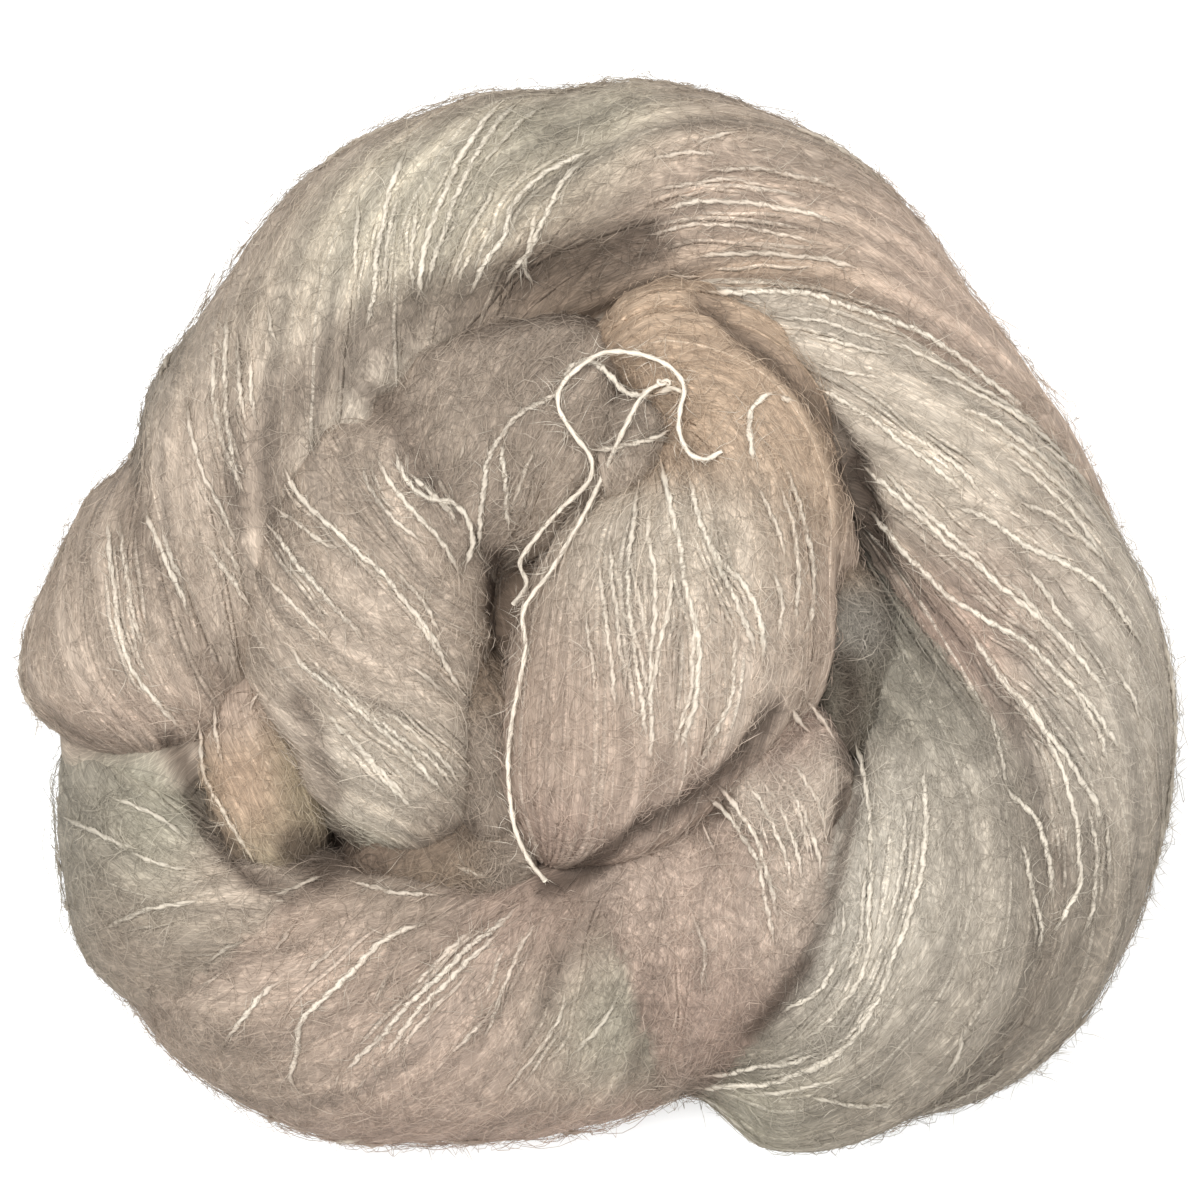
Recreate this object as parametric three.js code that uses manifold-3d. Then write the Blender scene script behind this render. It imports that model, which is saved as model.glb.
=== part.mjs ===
// A hank of fine mohair yarn, twisted into a two-ply rope and coiled flat into a rosette.
// Millimetres, +Z up. The hank lies on the plane z = 0, and the origin is under its middle.
// The rope runs clockwise, seen from above: once round as the outer coil, then inwards, and its
// end lies on top in the middle. Every row below is one place along the rope, in that order.

import * as THREE from "three";
import { mergeVertices } from "three/addons/utils/BufferGeometryUtils.js";
import Module from "manifold-3d";

// How finely a rope is divided: the step along it, the points round it, and how many of these
// lie on its upper half.
const STEP_ALONG = 3.4;
const POINTS_AROUND = 24;
const POINTS_ON_TOP = 16;
// The ends of a rope close over this share of a row.
const END_CAP_ROWS = 0.9;
// Turns round the rope are counted in half circles from its inner side: 0.5 is the crown and 1
// is the outer side. A crease fades out over CREASE_FADE, and is gone under the rope.
const CREASE_END = 1.35;
const CREASE_FADE = 0.35;
// A section faces along the rope's run over this many rows before and after it.
const FACING = 0.6;
// A step small enough to read a crease's direction from.
const SLIGHT = 0.01;
// The yarn gives way where the hank rests, so that everything under z = 0 is pressed flat.
const FLAT_CUT_DEPTH = 10;
const FLAT_CUT_SIDE = 400;

// The tie is a soft round yarn, divided every TIE_STEP.
const TIE_DIAMETER = 0.8;
const TIE_SIDES = 8;
const TIE_STEP = 2;

// Makes objects with named columns out of rows of numbers.
function table(columns, rows) {
  return rows.map((row) => Object.fromEntries(columns.map((name, i) => [name, row[i]])));
}

// A section of a rope: its centre, half its width, and the heights of its top and its base.
const SECTION = ["x", "y", "half", "top", "base"];
// A crease between two lobes, as the row numbers at which it crosses the inner side, the crown
// and the outer side of the rope, with how deep it is and how far it rounds the lobes beside it.
const CREASE = ["inner", "crown", "outer", "depth", "reach"];

// The stretches of the rope.
const ROPES = {
  // Once round, from the end that lies on the left, with a crease between its seven lobes.
  outerCoil: {
    sections: table(SECTION, [
      [-58.5, -19.5, 11.0, 31.0, 4.0],
      [-58.3, -10.0, 16.7, 35.0, 0.0],
      [-54.5, 1.8, 16.3, 36.5, -1.0],
      [-48.5, 14.6, 15.6, 37.0, -1.0],
      [-39.0, 28.8, 16.0, 38.0, -1.0],
      [-26.3, 42.5, 18.0, 38.0, -1.0],
      [-9.4, 50.0, 18.5, 37.0, -1.0],
      [8.9, 50.0, 18.5, 36.0, -1.0],
      [25.2, 42.5, 18.0, 37.0, -1.0],
      [36.5, 29.5, 16.8, 38.0, -1.0],
      [47.0, 14.5, 17.6, 39.0, -1.0],
      [53.0, -3.5, 20.5, 39.0, -1.0],
      [51.9, -21.0, 22.5, 39.0, -1.0],
      [42.3, -36.2, 26.5, 38.0, -1.0],
      [25.8, -44.5, 25.5, 38.0, -1.0],
      [7.6, -45.2, 20.5, 37.0, -1.0],
      [-12.0, -49.7, 18.5, 36.0, -1.0],
      [-34.0, -49.0, 18.7, 35.0, -1.0],
      [-52.5, -37.5, 16.0, 31.0, -1.0],
      [-58.3, -23.0, 13.0, 26.0, -1.0],
      [-59.6, -10.0, 11.0, 20.0, 0.0],
    ]),
    creases: table(CREASE, [
      [0.3, 2.2, 3.0, 2.5, 9],
      [6.5, 6.4, 6.3, 1.6, 11],
      [5.3, 8.2, 10.7, 2.2, 9],
      [9.2, 11.8, 13.8, 2.2, 9],
      [12.0, 14.0, 14.8, 4.0, 9],
      [15.6, 15.2, 15.1, 1.6, 8],
      [17.3, 17.6, 17.9, 1.2, 8],
    ]),
  },
  // Where the twist shows as a small lobe between the two coils.
  smallLobe: {
    sections: table(SECTION, [
      [-38.7, -41.3, 6.0, 22.0, 2.0],
      [-42.9, -32.1, 9.0, 28.0, 1.0],
      [-43.9, -21.7, 9.0, 31.0, 1.0],
      [-44.6, -12.6, 8.5, 30.0, 1.0],
      [-42.9, -4.1, 6.0, 26.0, 2.0],
    ]),
    creases: [],
  },
  // The second turn, inside the first.
  innerCoil: {
    sections: table(SECTION, [
      [-21.5, -34.0, 9.0, 26.0, 2.0],
      [-23.5, -23.5, 12.5, 34.0, 1.0],
      [-28.0, -10.5, 15.5, 39.0, 1.0],
      [-29.5, 2.5, 18.0, 41.0, 1.0],
      [-24.0, 15.5, 18.0, 41.0, 1.0],
      [-13.0, 24.5, 18.0, 39.0, 1.0],
      [-1.5, 29.0, 15.0, 37.0, 1.0],
      [6.9, 31.1, 8.0, 32.0, 4.0],
    ]),
    creases: table(CREASE, [
      [3.5, 4.25, 4.4, 2.6, 8],
    ]),
  },
  // The last stretch, which rises on top of the others in the middle.
  topLobe: {
    sections: table(SECTION, [
      [-1.6, 32.4, 7.0, 36.0, 6.0],
      [7.6, 34.4, 10.0, 41.0, 4.0],
      [17.3, 27.2, 13.0, 44.0, 3.0],
      [18.6, 14.1, 16.0, 46.0, 2.0],
      [12.1, 0.5, 20.0, 48.0, 2.0],
      [4.3, -12.8, 17.5, 47.0, 2.0],
      [-2.2, -24.3, 12.5, 43.0, 4.0],
      [-6.4, -32.8, 5.0, 38.0, 8.0],
    ]),
    creases: table(CREASE, [
      [2.2, 2.9, 3.6, 1.0, 7],
    ]),
  },
  // What lies low under the middle, and shows only at the bottom of the hollows.
  hiddenTurn: {
    sections: table(SECTION, [
      [0.0, 38.0, 14.0, 17.0, 0.0],
      [0.0, 20.0, 30.0, 21.0, -1.0],
      [-1.0, 0.0, 36.0, 22.0, -1.0],
      [-4.0, -22.0, 38.0, 22.0, -1.0],
      [-8.0, -44.0, 36.0, 20.0, -1.0],
    ]),
    creases: [],
  },
};

// The two ends of yarn that tie the hank, as points on their centre lines. Both lie on the hank:
// the long one runs from the hollow at the front up the valley beside the top lobe, and the
// other one from that valley round the back of the middle to its free end.
const POINT = ["x", "y", "z"];
const TIES = {
  tieYarn: table(POINT, [
    [-6.6, -34.0, 31.3],
    [-8.6, -31.3, 33.7],
    [-10.3, -27.3, 35.8],
    [-11.0, -22.9, 36.6],
    [-11.2, -18.5, 36.6],
    [-10.7, -13.4, 36.9],
    [-9.7, -8.4, 37.3],
    [-9.0, -4.0, 37.1],
    [-9.4, -0.1, 36.1],
    [-8.1, 2.5, 35.9],
    [-6.1, 5.0, 36.5],
    [-3.9, 8.6, 36.9],
    [-1.5, 12.8, 36.3],
    [0.6, 17.2, 34.7],
    [2.8, 22.0, 38.0],
    [4.6, 25.6, 40.0],
    [6.0, 27.7, 40.6],
    [8.0, 28.9, 40.8],
  ]),
  tieEnd: table(POINT, [
    [-10.7, 1.2, 28.2],
    [-9.0, 3.8, 30.1],
    [-9.8, 6.6, 31.5],
    [-7.5, 10.0, 32.5],
    [-4.7, 13.2, 33.1],
    [-1.1, 16.7, 35.9],
    [-0.8, 19.7, 37.1],
    [-2.9, 22.6, 38.2],
    [-4.8, 25.9, 38.6],
    [-4.5, 28.6, 38.6],
    [-2.4, 30.9, 38.1],
    [0.9, 32.8, 40.0],
    [5.4, 32.5, 41.7],
    [9.1, 30.9, 42.4],
    [10.9, 28.4, 42.5],
    [10.4, 25.5, 42.2],
    [10.3, 22.8, 42.7],
    [11.5, 20.1, 43.9],
    [13.5, 19.3, 44.5],
    [15.6, 20.3, 44.7],
  ]),
};

const wasm = await Module();
wasm.setup();

// Reads one column of the rows as a smooth curve at row number u.
function smooth(rows, name, u) {
  const i = Math.min(Math.max(Math.floor(u), 0), rows.length - 2);
  const t = u - i;
  const b = rows[i][name];
  const c = rows[i + 1][name];
  const a = i > 0 ? rows[i - 1][name] : 2 * b - c;
  const d = i + 2 < rows.length ? rows[i + 2][name] : 2 * c - b;
  const slope = (c - a) / 2;
  const nextSlope = (d - b) / 2;
  const t2 = t * t;
  const t3 = t2 * t;
  const pull = slope * (t3 - 2 * t2 + t) + nextSlope * (t3 - t2);
  return b * (2 * t3 - 3 * t2 + 1) + c * (3 * t2 - 2 * t3) + pull;
}

// The row number of a crease at a turn w round the rope. It runs on straight under the rope.
function creasePlace(crease, w) {
  const early = crease.crown - crease.inner;
  const late = crease.outer - crease.crown;
  const bend = 2 * (late - early);
  const start = 2 * early - bend / 2;
  if (w < 0) return crease.inner + start * w;
  if (w > 1) return crease.outer + (start + 2 * bend) * (w - 1);
  return crease.inner + start * w + bend * w * w;
}

// A point of a rope at row number u and turn w, with its surface drawn in by drop.
function ropePoint(rope, u, w, drop) {
  const rows = rope.sections;
  const last = rows.length - 1;
  const [x, y, half, top, base] = SECTION.map((name) => smooth(rows, name, u));
  const before = Math.max(u - FACING, 0);
  const after = Math.min(u + FACING, last);
  const dx = smooth(rows, "x", after) - smooth(rows, "x", before);
  const dy = smooth(rows, "y", after) - smooth(rows, "y", before);
  const length = Math.hypot(dx, dy);
  const fromEnd = Math.min(u, last - u) / END_CAP_ROWS;
  const cap = fromEnd < 1 ? Math.sqrt(Math.max(0, 1 - (1 - fromEnd) ** 2)) : 1;
  const turn = Math.PI * (1 - w);
  const out = Math.max(0, half - drop) * cap * Math.cos(turn);
  const up = Math.max(0, (top - base) / 2 - drop) * cap * Math.sin(turn);
  return new THREE.Vector3(
    x - (dy / length) * out,
    y + (dx / length) * out,
    (top + base) / 2 + up,
  );
}

// How far the creases draw the surface in at row number u and turn w. The valley is as wide as
// its reach on either side, measured square to the crease.
function creaseDrop(rope, u, w) {
  const here = ropePoint(rope, u, w, 0);
  const underneath = Math.max(-w, w - CREASE_END + CREASE_FADE);
  const shown = Math.min(1, Math.max(0, 1 - underneath / CREASE_FADE));
  let drop = 0;
  for (const crease of rope.creases) {
    const place = creasePlace(crease, w);
    const bottom = ropePoint(rope, place, w, 0);
    const before = creasePlace(crease, w - SLIGHT);
    const after = creasePlace(crease, w + SLIGHT);
    const run = ropePoint(rope, after, w + SLIGHT, 0).sub(ropePoint(rope, before, w - SLIGHT, 0));
    const aside = here.clone().sub(bottom);
    const far = aside.length();
    const away = aside.cross(run.normalize()).length();
    if (away < crease.reach && far < 3 * crease.reach) {
      drop = Math.max(drop, crease.depth * (1 - (away / crease.reach) ** 2) ** 2);
    }
  }
  return drop * shown;
}

// The turn at a share of the way round: the upper half has more of the points.
function turnAt(share) {
  const onTop = POINTS_ON_TOP / POINTS_AROUND;
  const w = share < onTop ? share / onTop : 1 + (share - onTop) / (1 - onTop);
  return w > CREASE_END ? w - 2 : w;
}

// A closed rope: a globe whose meridians become the places round it and whose circles of
// latitude become the places along it.
function ropeGeometry(rope) {
  const rows = rope.sections;
  const last = rows.length - 1;
  const runs = rows.slice(1).map((row, i) => Math.hypot(row.x - rows[i].x, row.y - rows[i].y));
  const length = runs.reduce((sum, run) => sum + run, 0);
  const globe = new THREE.SphereGeometry(1, POINTS_AROUND, Math.round(length / STEP_ALONG));
  const place = globe.getAttribute("position");
  const { uv } = globe.attributes;
  for (let i = 0; i < place.count; i += 1) {
    const u = (1 - uv.getY(i)) * last;
    const atEnd = u < SLIGHT || u > last - SLIGHT;
    const w = turnAt((uv.getX(i) + SLIGHT ** 3) % 1);
    const point = atEnd ? ropePoint(rope, u, 0, 0) : ropePoint(rope, u, w, creaseDrop(rope, u, w));
    place.setXYZ(i, point.x, point.y, point.z);
  }
  return globe;
}

// A closed mesh as a solid that can be joined and cut.
function solid(geometry) {
  const bare = geometry.clone();
  bare.deleteAttribute("normal");
  bare.deleteAttribute("uv");
  const merged = mergeVertices(bare, 1e-4);
  return new wasm.Manifold(new wasm.Mesh({
    numProp: 3,
    vertProperties: merged.attributes.position.array,
    triVerts: new Uint32Array(merged.index.array),
  }));
}

// A solid as a geometry again.
function geometryOf(body) {
  const mesh = body.getMesh();
  const geometry = new THREE.BufferGeometry();
  geometry.setAttribute("position", new THREE.BufferAttribute(mesh.vertProperties, 3));
  geometry.setIndex(new THREE.BufferAttribute(mesh.triVerts, 1));
  geometry.computeVertexNormals();
  return geometry;
}

// The whole hank: its stretches of rope pressed together, flat where it rests.
function hankGeometry() {
  const [first, ...others] = Object.values(ROPES).map((rope) => solid(ropeGeometry(rope)));
  const joined = others.reduce((sum, next) => sum.add(next), first);
  const under = new THREE.BoxGeometry(FLAT_CUT_SIDE, FLAT_CUT_SIDE, FLAT_CUT_DEPTH);
  under.translate(0, 0, -FLAT_CUT_DEPTH / 2);
  return geometryOf(joined.subtract(solid(under)));
}

// A round yarn along a row of points.
function yarnGeometry(points) {
  const places = points.map(({ x, y, z }) => new THREE.Vector3(x, y, z));
  const path = new THREE.CatmullRomCurve3(places, false, "catmullrom");
  const section = new THREE.Shape();
  for (let i = 0; i < TIE_SIDES; i += 1) {
    const turn = (2 * Math.PI * i) / TIE_SIDES;
    const corner = [(TIE_DIAMETER / 2) * Math.cos(turn), (TIE_DIAMETER / 2) * Math.sin(turn)];
    if (i === 0) section.moveTo(...corner);
    else section.lineTo(...corner);
  }
  const steps = Math.round(path.getLength() / TIE_STEP);
  const along = { steps, bevelEnabled: false, extrudePath: path };
  return geometryOf(solid(new THREE.ExtrudeGeometry(section, along)));
}

// A named mesh in its own colour.
function piece(name, geometry, color) {
  const material = new THREE.MeshStandardMaterial({ color, roughness: 0.95, metalness: 0 });
  const mesh = new THREE.Mesh(geometry, material);
  mesh.name = name;
  return mesh;
}

const yarn = new THREE.Group();
yarn.add(piece("hank", hankGeometry(), 0xb9aa9b));
yarn.add(piece("tie_yarn", yarnGeometry(TIES.tieYarn), 0xe2d8c8));
yarn.add(piece("tie_end", yarnGeometry(TIES.tieEnd), 0xe2d8c8));

export default yarn;
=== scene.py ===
"""The looks of a hank of fine mohair yarn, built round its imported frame.

The hank is one rope of twisted yarn, coiled flat. Each stretch of the rope has a core, the dim
yarns that lie on it, the bright yarns that stand out, and a halo of loose mohair that stands off
them all. They follow one surface, which is the one that the part's source makes its solids from.
Tables are in millimetres, +Z up, and the meshes are written in metres. Colours are written as the
eye sees them, between 0 and 1.
"""

from __future__ import annotations

import logging
import math
from dataclasses import dataclass, field
from enum import Enum, IntEnum

import bmesh
import bpy
import numpy as np
from bpy.types import ID, Material, Mesh, Node, NodeSocket, NodeTree, Object
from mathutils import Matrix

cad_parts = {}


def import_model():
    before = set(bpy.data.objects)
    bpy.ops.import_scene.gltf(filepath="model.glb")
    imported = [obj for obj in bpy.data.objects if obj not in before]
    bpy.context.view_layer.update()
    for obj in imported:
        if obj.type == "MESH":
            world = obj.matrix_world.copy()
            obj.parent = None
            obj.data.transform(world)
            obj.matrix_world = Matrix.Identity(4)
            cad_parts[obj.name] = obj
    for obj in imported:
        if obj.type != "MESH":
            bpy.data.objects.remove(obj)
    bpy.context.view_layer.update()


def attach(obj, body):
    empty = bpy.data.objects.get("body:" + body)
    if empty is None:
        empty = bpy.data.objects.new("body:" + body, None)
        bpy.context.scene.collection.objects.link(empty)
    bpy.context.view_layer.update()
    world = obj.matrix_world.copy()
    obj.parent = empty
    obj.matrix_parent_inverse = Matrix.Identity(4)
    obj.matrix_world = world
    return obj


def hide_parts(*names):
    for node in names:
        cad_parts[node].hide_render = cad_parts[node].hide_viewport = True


Array = np.ndarray
Random = np.random.Generator
LOG = logging.getLogger("yarn")
MM = 0.001
# The ends of a rope close over this share of a row.
END_CAP_ROWS = 0.9
# Yarns and fibres stay this many rows away from a rope's ends.
NEAR_END = 0.02
# Turns round a rope count half circles from its inner side: 0.5 is the crown, 1 the outer side.
CREASE_END = 1.35
CREASE_FADE = 0.35
# A crease doesn't reach further than this many rows.
CREASE_ROWS = 3.0
# A section faces along the rope's run over this many rows before and after it.
FACING = 0.6
# A step small enough to read a crease's direction from.
SLIGHT = 0.01
# Painted shade: how far a crease's colour is darkened, for each millimetre of its depth.
CREASE_PAINTED_SHADE = 0.07
# Hollows fade over this share of a turn past the sides.
HOLLOW_FADE = 0.1
# The steps in rows and in turns that a surface's slopes are read over.
ROW_STEP = 0.02
TURN_STEP = 0.005
# The waves of a lobe's ridges and of its streaks: lobe 0's seed, how many, and the steepest pitch.
RIDGE_WAVES = (40, 6, 9.0)
STREAK_WAVES = (70, 9, 26.0)
# How a row and a turn count as distance between the places of dye and of painted shade, and how much these
# blur together.
DYE_AND_SHADE_SCALE = (0.9, 3)
DYE_AND_SHADE_BLUR = 0.25
# The lengths of the short fibres beside a yarn, and how steeply they may rise.
HAIR_LENGTHS = (1.4, 4.0)
HAIR_RISE = 0.22
# The lowest that any yarn's centre lies.
FLOOR_GAP = 0.4
# Points of a mesh that lie nearer than this, in metres, are welded.
WELD = 2e-7
# The side of the square that the strands' flat map covers.
MAP_SIDE = 170.0
# The depth of the fine fibres' relief.
FIBRE_DEPTH = 0.1
# The height of the ridges that bundles of yarn make, and the share of it that the yarns follow.
BUNDLE_HEIGHT = 0.35
BUNDLES_FOLLOWED = 0.8
# How strongly the streaks of dye differ.
BAND_CONTRAST = 0.9
# How a yarn wanders along its rope: by so many rows, at so many swings a turn.
WANDER = ((0.035, 5), (0.02, 13), (0.008, 31), (0.004, 67))

PALE_GREEN = (0.868, 0.833, 0.775)
CREAM_GREEN = (0.79, 0.755, 0.68)
SAND = (0.735, 0.67, 0.605)
PINK_SAND = (0.73, 0.65, 0.585)
TAN = (0.725, 0.632, 0.54)
CREAM = (0.775, 0.725, 0.66)
GREY_GREEN = (0.67, 0.645, 0.575)
GREY = (0.60, 0.57, 0.525)
SLATE = (0.573, 0.545, 0.49)
STONE = (0.636, 0.595, 0.54)
MIST = (0.717, 0.675, 0.619)
BLUSH = (0.84, 0.775, 0.71)
TAUPE = (0.63, 0.57, 0.51)
ROSE = (0.71, 0.63, 0.57)
DUSKY_ROSE = (0.665, 0.578, 0.52)
ORANGE = (0.715, 0.615, 0.525)
OLIVE = (0.69, 0.63, 0.53)
PALE_ROSE = (0.785, 0.72, 0.655)
# Painted shade: the darker colour given to the coils' outer sides, which turn away from the light.
RIM_SHADE = (0.556, 0.515, 0.462)
EARTH = (0.60, 0.525, 0.45)
MOSS = (0.49, 0.455, 0.40)
UMBER = (0.50, 0.43, 0.37)
# The colour of the painted shade that darkens creases and hollows.
PAINTED_SHADE_COLOUR = (0.29, 0.24, 0.205)
PALE_YARN = (0.865, 0.825, 0.76)


class Column(IntEnum):
    """The columns of a rope's sections: its centre, half width, and its top's and base's heights."""

    X = 0
    Y = 1
    HALF = 2
    TOP = 3
    BASE = 4


class Mark(IntEnum):
    """The columns of a crease or a lay: its row at the inner side, the crown and the outer side."""

    INNER = 0
    CROWN = 1
    OUTER = 2
    DEPTH = 3
    REACH = 4


class Slot(Enum):
    """The record's material slots."""

    MOHAIR = "mohair"
    TIE = "tie"


def smooth(column: Array, u: Array) -> Array:
    """Reads one column of a table as a smooth curve.

    Args:
        column: The column's values, one a row.
        u: Row numbers to read at.

    Returns:
        The values there.
    """
    i = np.clip(np.floor(u).astype(int), 0, len(column) - 2)
    t = u - i
    b, c = column[i], column[i + 1]
    a = np.where(i > 0, column[np.maximum(i - 1, 0)], 2 * b - c)
    d = np.where(i + 2 < len(column), column[np.minimum(i + 2, len(column) - 1)], 2 * c - b)
    t2, t3 = t * t, t * t * t
    pull = (c - a) / 2 * (t3 - 2 * t2 + t) + (d - b) / 2 * (t3 - t2)
    return b * (2 * t3 - 3 * t2 + 1) + c * (3 * t2 - 2 * t3) + pull


def even_line(points: Array, step: float) -> Array:
    """A smooth line through points, with its own points evenly spaced.

    Args:
        points: The points to pass through, one a row.
        step: The distance between the line's own points.

    Returns:
        The line's points.
    """
    fine = np.linspace(0, len(points) - 1, 24 * len(points))
    dense = np.stack([smooth(points[:, k], fine) for k in range(points.shape[1])], -1)
    run = np.concatenate([[0], np.cumsum(np.linalg.norm(np.diff(dense, axis=0), axis=1))])
    even = np.linspace(0, run[-1], max(3, round(run[-1] / step)))
    return np.stack([np.interp(even, run, column) for column in dense.T], -1)


def place_along(mark: Array, w: Array) -> Array:
    """The row number of a crease or a lay at a turn round the rope. It runs on straight below.

    Args:
        mark: Rows at the inner side, the crown and the outer side, in the last axis.
        w: Turns round the rope.

    Returns:
        The row numbers.
    """
    inner, crown, outer = mark[..., Mark.INNER], mark[..., Mark.CROWN], mark[..., Mark.OUTER]
    bend = 2 * ((outer - crown) - (crown - inner))
    start = 2 * (crown - inner) - bend / 2
    within = np.clip(w, 0, 1)
    place = inner + start * within + bend * within * within
    return place + np.minimum(w, 0) * start + np.maximum(w - 1, 0) * (start + 2 * bend)


def unit(vectors: Array) -> Array:
    """Vectors brought to length 1, or left at no length."""
    return vectors / np.maximum(np.linalg.norm(vectors, axis=-1, keepdims=True), 1e-9)


def mixed(colours: Array, other: tuple[float, float, float], share: Array | float) -> Array:
    """Colours with a share of another one in them."""
    return colours * (1 - share) + np.array(other) * share


def waves(lobe: int, seed: int, count: int, reach: float) -> Array:
    """Random waves for `ripple`, each with two pitches, a phase and a share.

    Args:
        lobe: The number of the lobe that they run over.
        seed: Seed of the random numbers for lobe 0.
        count: How many waves.
        reach: The steepest pitch.

    Returns:
        An array with a row for each wave.
    """
    rng = np.random.default_rng(seed + lobe)
    pitch = rng.uniform(0.3, 1.0, count) * reach
    share = 1 / np.sqrt(count)
    return np.stack(
        [pitch, rng.normal(0, 1.6, count), rng.uniform(0, 2 * np.pi, count), np.full(count, share)],
        axis=-1,
    )


def ripple(table: Array, across: Array, along: Array) -> Array:
    """Adds up waves that run mostly across the yarns.

    Args:
        table: Waves from `waves`.
        across: Place across the yarns.
        along: Place along them.

    Returns:
        Heights between about -1.5 and 1.5.
    """
    total = np.zeros(np.broadcast(across, along).shape)
    for pitch, slant, phase, share in table:
        total = total + share * np.sin(pitch * across + slant * along * 3 + phase)
    return total


@dataclass(frozen=True)
class Sight:
    """How the photograph sees the hank: from straight above, with 1200 pixels a side."""

    pixel: float = 0.1304
    middle: float = 600.0
    eye: tuple[float, float, float] = (0.39, 1.76, 600.0)
    scale_height: float = 18.0

    def place(self, pixels: Array, height: Array | float) -> Array:
        """The places in the ground plan, in millimetres, of pixels seen at a height."""
        spread = self.pixel * (self.eye[2] - height) / (self.eye[2] - self.scale_height)
        x = self.eye[0] + (pixels[..., 0] - self.middle) * spread
        y = self.eye[1] - (pixels[..., 1] - self.middle) * spread
        return np.stack([x, y], -1)


SIGHT = Sight()


@dataclass(frozen=True)
class Hollow:
    """A narrow place that light hardly reaches, along a line of the photograph's pixels. It draws the
    surface in, and darkens its colour with painted shade.
    """

    pixels: tuple[tuple[int, int], ...]
    reach: float
    depth: float
    painted_shade: float
    height: float = 34.0

    def nearness(self, points: Array) -> Array:
        """How near points are to the line: 1 on it and 0 at its reach.

        Args:
            points: Points in the last axis, in millimetres.

        Returns:
            The nearness of each.
        """
        line = SIGHT.place(np.array(self.pixels, float), self.height)
        flat = points[..., :2]
        away = np.full(flat.shape[:-1], 1e9)
        low, high = line.min(0) - self.reach, line.max(0) + self.reach
        near = np.all((flat > low) & (flat < high), axis=-1)
        spots = flat[near]
        best = np.full(len(spots), 1e9)
        for start, end in zip(line[:-1], line[1:]):
            way = end - start
            part = np.clip(((spots - start) @ way) / (way @ way), 0, 1)
            best = np.minimum(best, np.linalg.norm(spots - start - part[:, None] * way, axis=1))
        away[near] = best
        return np.clip(1 - (away / self.reach) ** 2, 0, 1)


# Each hollow lists its pixels, its reach, its depth, its painted shade and at times its height.
HOLLOWS = {
    "pit": Hollow(((520, 290), (552, 276), (600, 264), (640, 246)), 6.0, 3.0, 0.58),
    "pit_floor": Hollow(((550, 298), (590, 300)), 4.0, 2.0, 0.40),
    "over_inner_top": Hollow(((300, 400), (350, 352), (430, 308), (510, 298)), 6.0, 0.9, 0.40),
    "over_inner_left": Hollow(((245, 500), (262, 450), (300, 400)), 5.5, 0.5, 0.32),
    "beside_top_lobe": Hollow(((705, 305), (745, 340), (800, 385), (835, 430), (850, 462)), 1.8, 1.6, 0.55),
    "right_of_top_lobe": Hollow(((850, 462), (864, 500), (872, 540), (880, 562)), 2.6, 2.0, 0.92),
    "under_tuft": Hollow(((846, 660), (854, 690), (850, 725), (848, 765)), 2.0, 0.6, 0.50),
    "front_right_cleft": Hollow(((845, 790), (836, 850), (824, 915), (806, 960)), 1.4, 1.2, 0.60),
    "front_right_cleft_end": Hollow(((806, 960), (785, 1000), (755, 1045)), 2.2, 2.0, 0.80),
    "under_top_lobe": Hollow(((545, 888), (600, 860), (640, 825), (690, 800), (740, 757), (772, 712)),
                             1.9, 0.9, 0.66),
    "between_inner_and_top": Hollow(((506, 565), (505, 600), (500, 630)), 1.7, 1.5, 0.75),
    "below_between": Hollow(((500, 640), (488, 690)), 2.0, 0.5, 0.25),
    "front_of_inner": Hollow(((470, 830), (430, 856), (370, 866)), 2.4, 0.3, 0.30),
    "behind_small_lobe": Hollow(((296, 852), (316, 868), (334, 852)), 4.0, 0.9, 0.66),
    "small_lobe_side": Hollow(((165, 745), (184, 784), (205, 830), (250, 880), (285, 892)), 2.2, 1.0, 0.55),
    "small_lobe_inside": Hollow(((300, 700), (318, 750), (330, 800)), 2.4, 0.6, 0.34),
    "inner_fold": Hollow(((345, 375), (385, 405), (422, 468), (440, 492)), 2.6, 1.2, 0.40),
    "right_gap": Hollow(((1000, 705), (1045, 742)), 2.2, 0.6, 0.30),
    "far_right_gap": Hollow(((1062, 850), (1070, 890)), 1.8, 0.6, 0.40),
    "front_streak": Hollow(((560, 935), (548, 1000)), 1.6, 0.5, 0.25),
    "front_crease": Hollow(((642, 1000), (636, 1075)), 1.6, 0.6, 0.35),
    "left_foot": Hollow(((60, 715), (100, 745), (130, 752)), 2.5, 0.3, 0.25, 20.0),
}


def hollowed(points: Array) -> tuple[Array, Array]:
    """How the hollows draw a surface in, and how much painted shade darkens them.

    Args:
        points: Points of the surface in the last axis, in millimetres.

    Returns:
        The drop in millimetres, and the painted shade between 0 and 1.
    """
    drop, painted_shade = np.zeros(points.shape[:-1]), np.zeros(points.shape[:-1])
    for hollow in HOLLOWS.values():
        near = hollow.nearness(points)
        drop = np.maximum(drop, hollow.depth * near**2)
        # Painted shade: the colour darkens towards each hollow's line.
        painted_shade = np.maximum(painted_shade, hollow.painted_shade * near**1.2)
    return drop, painted_shade


@dataclass(frozen=True)
class DyeAndShade:
    """One place of a lobe's colour: where it is, and the colour that the eye sees there. Most are dyed; the
    darker ones at the outer sides of the coils are painted shade.
    """

    u: float
    w: float
    colour: tuple[float, float, float]


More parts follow.
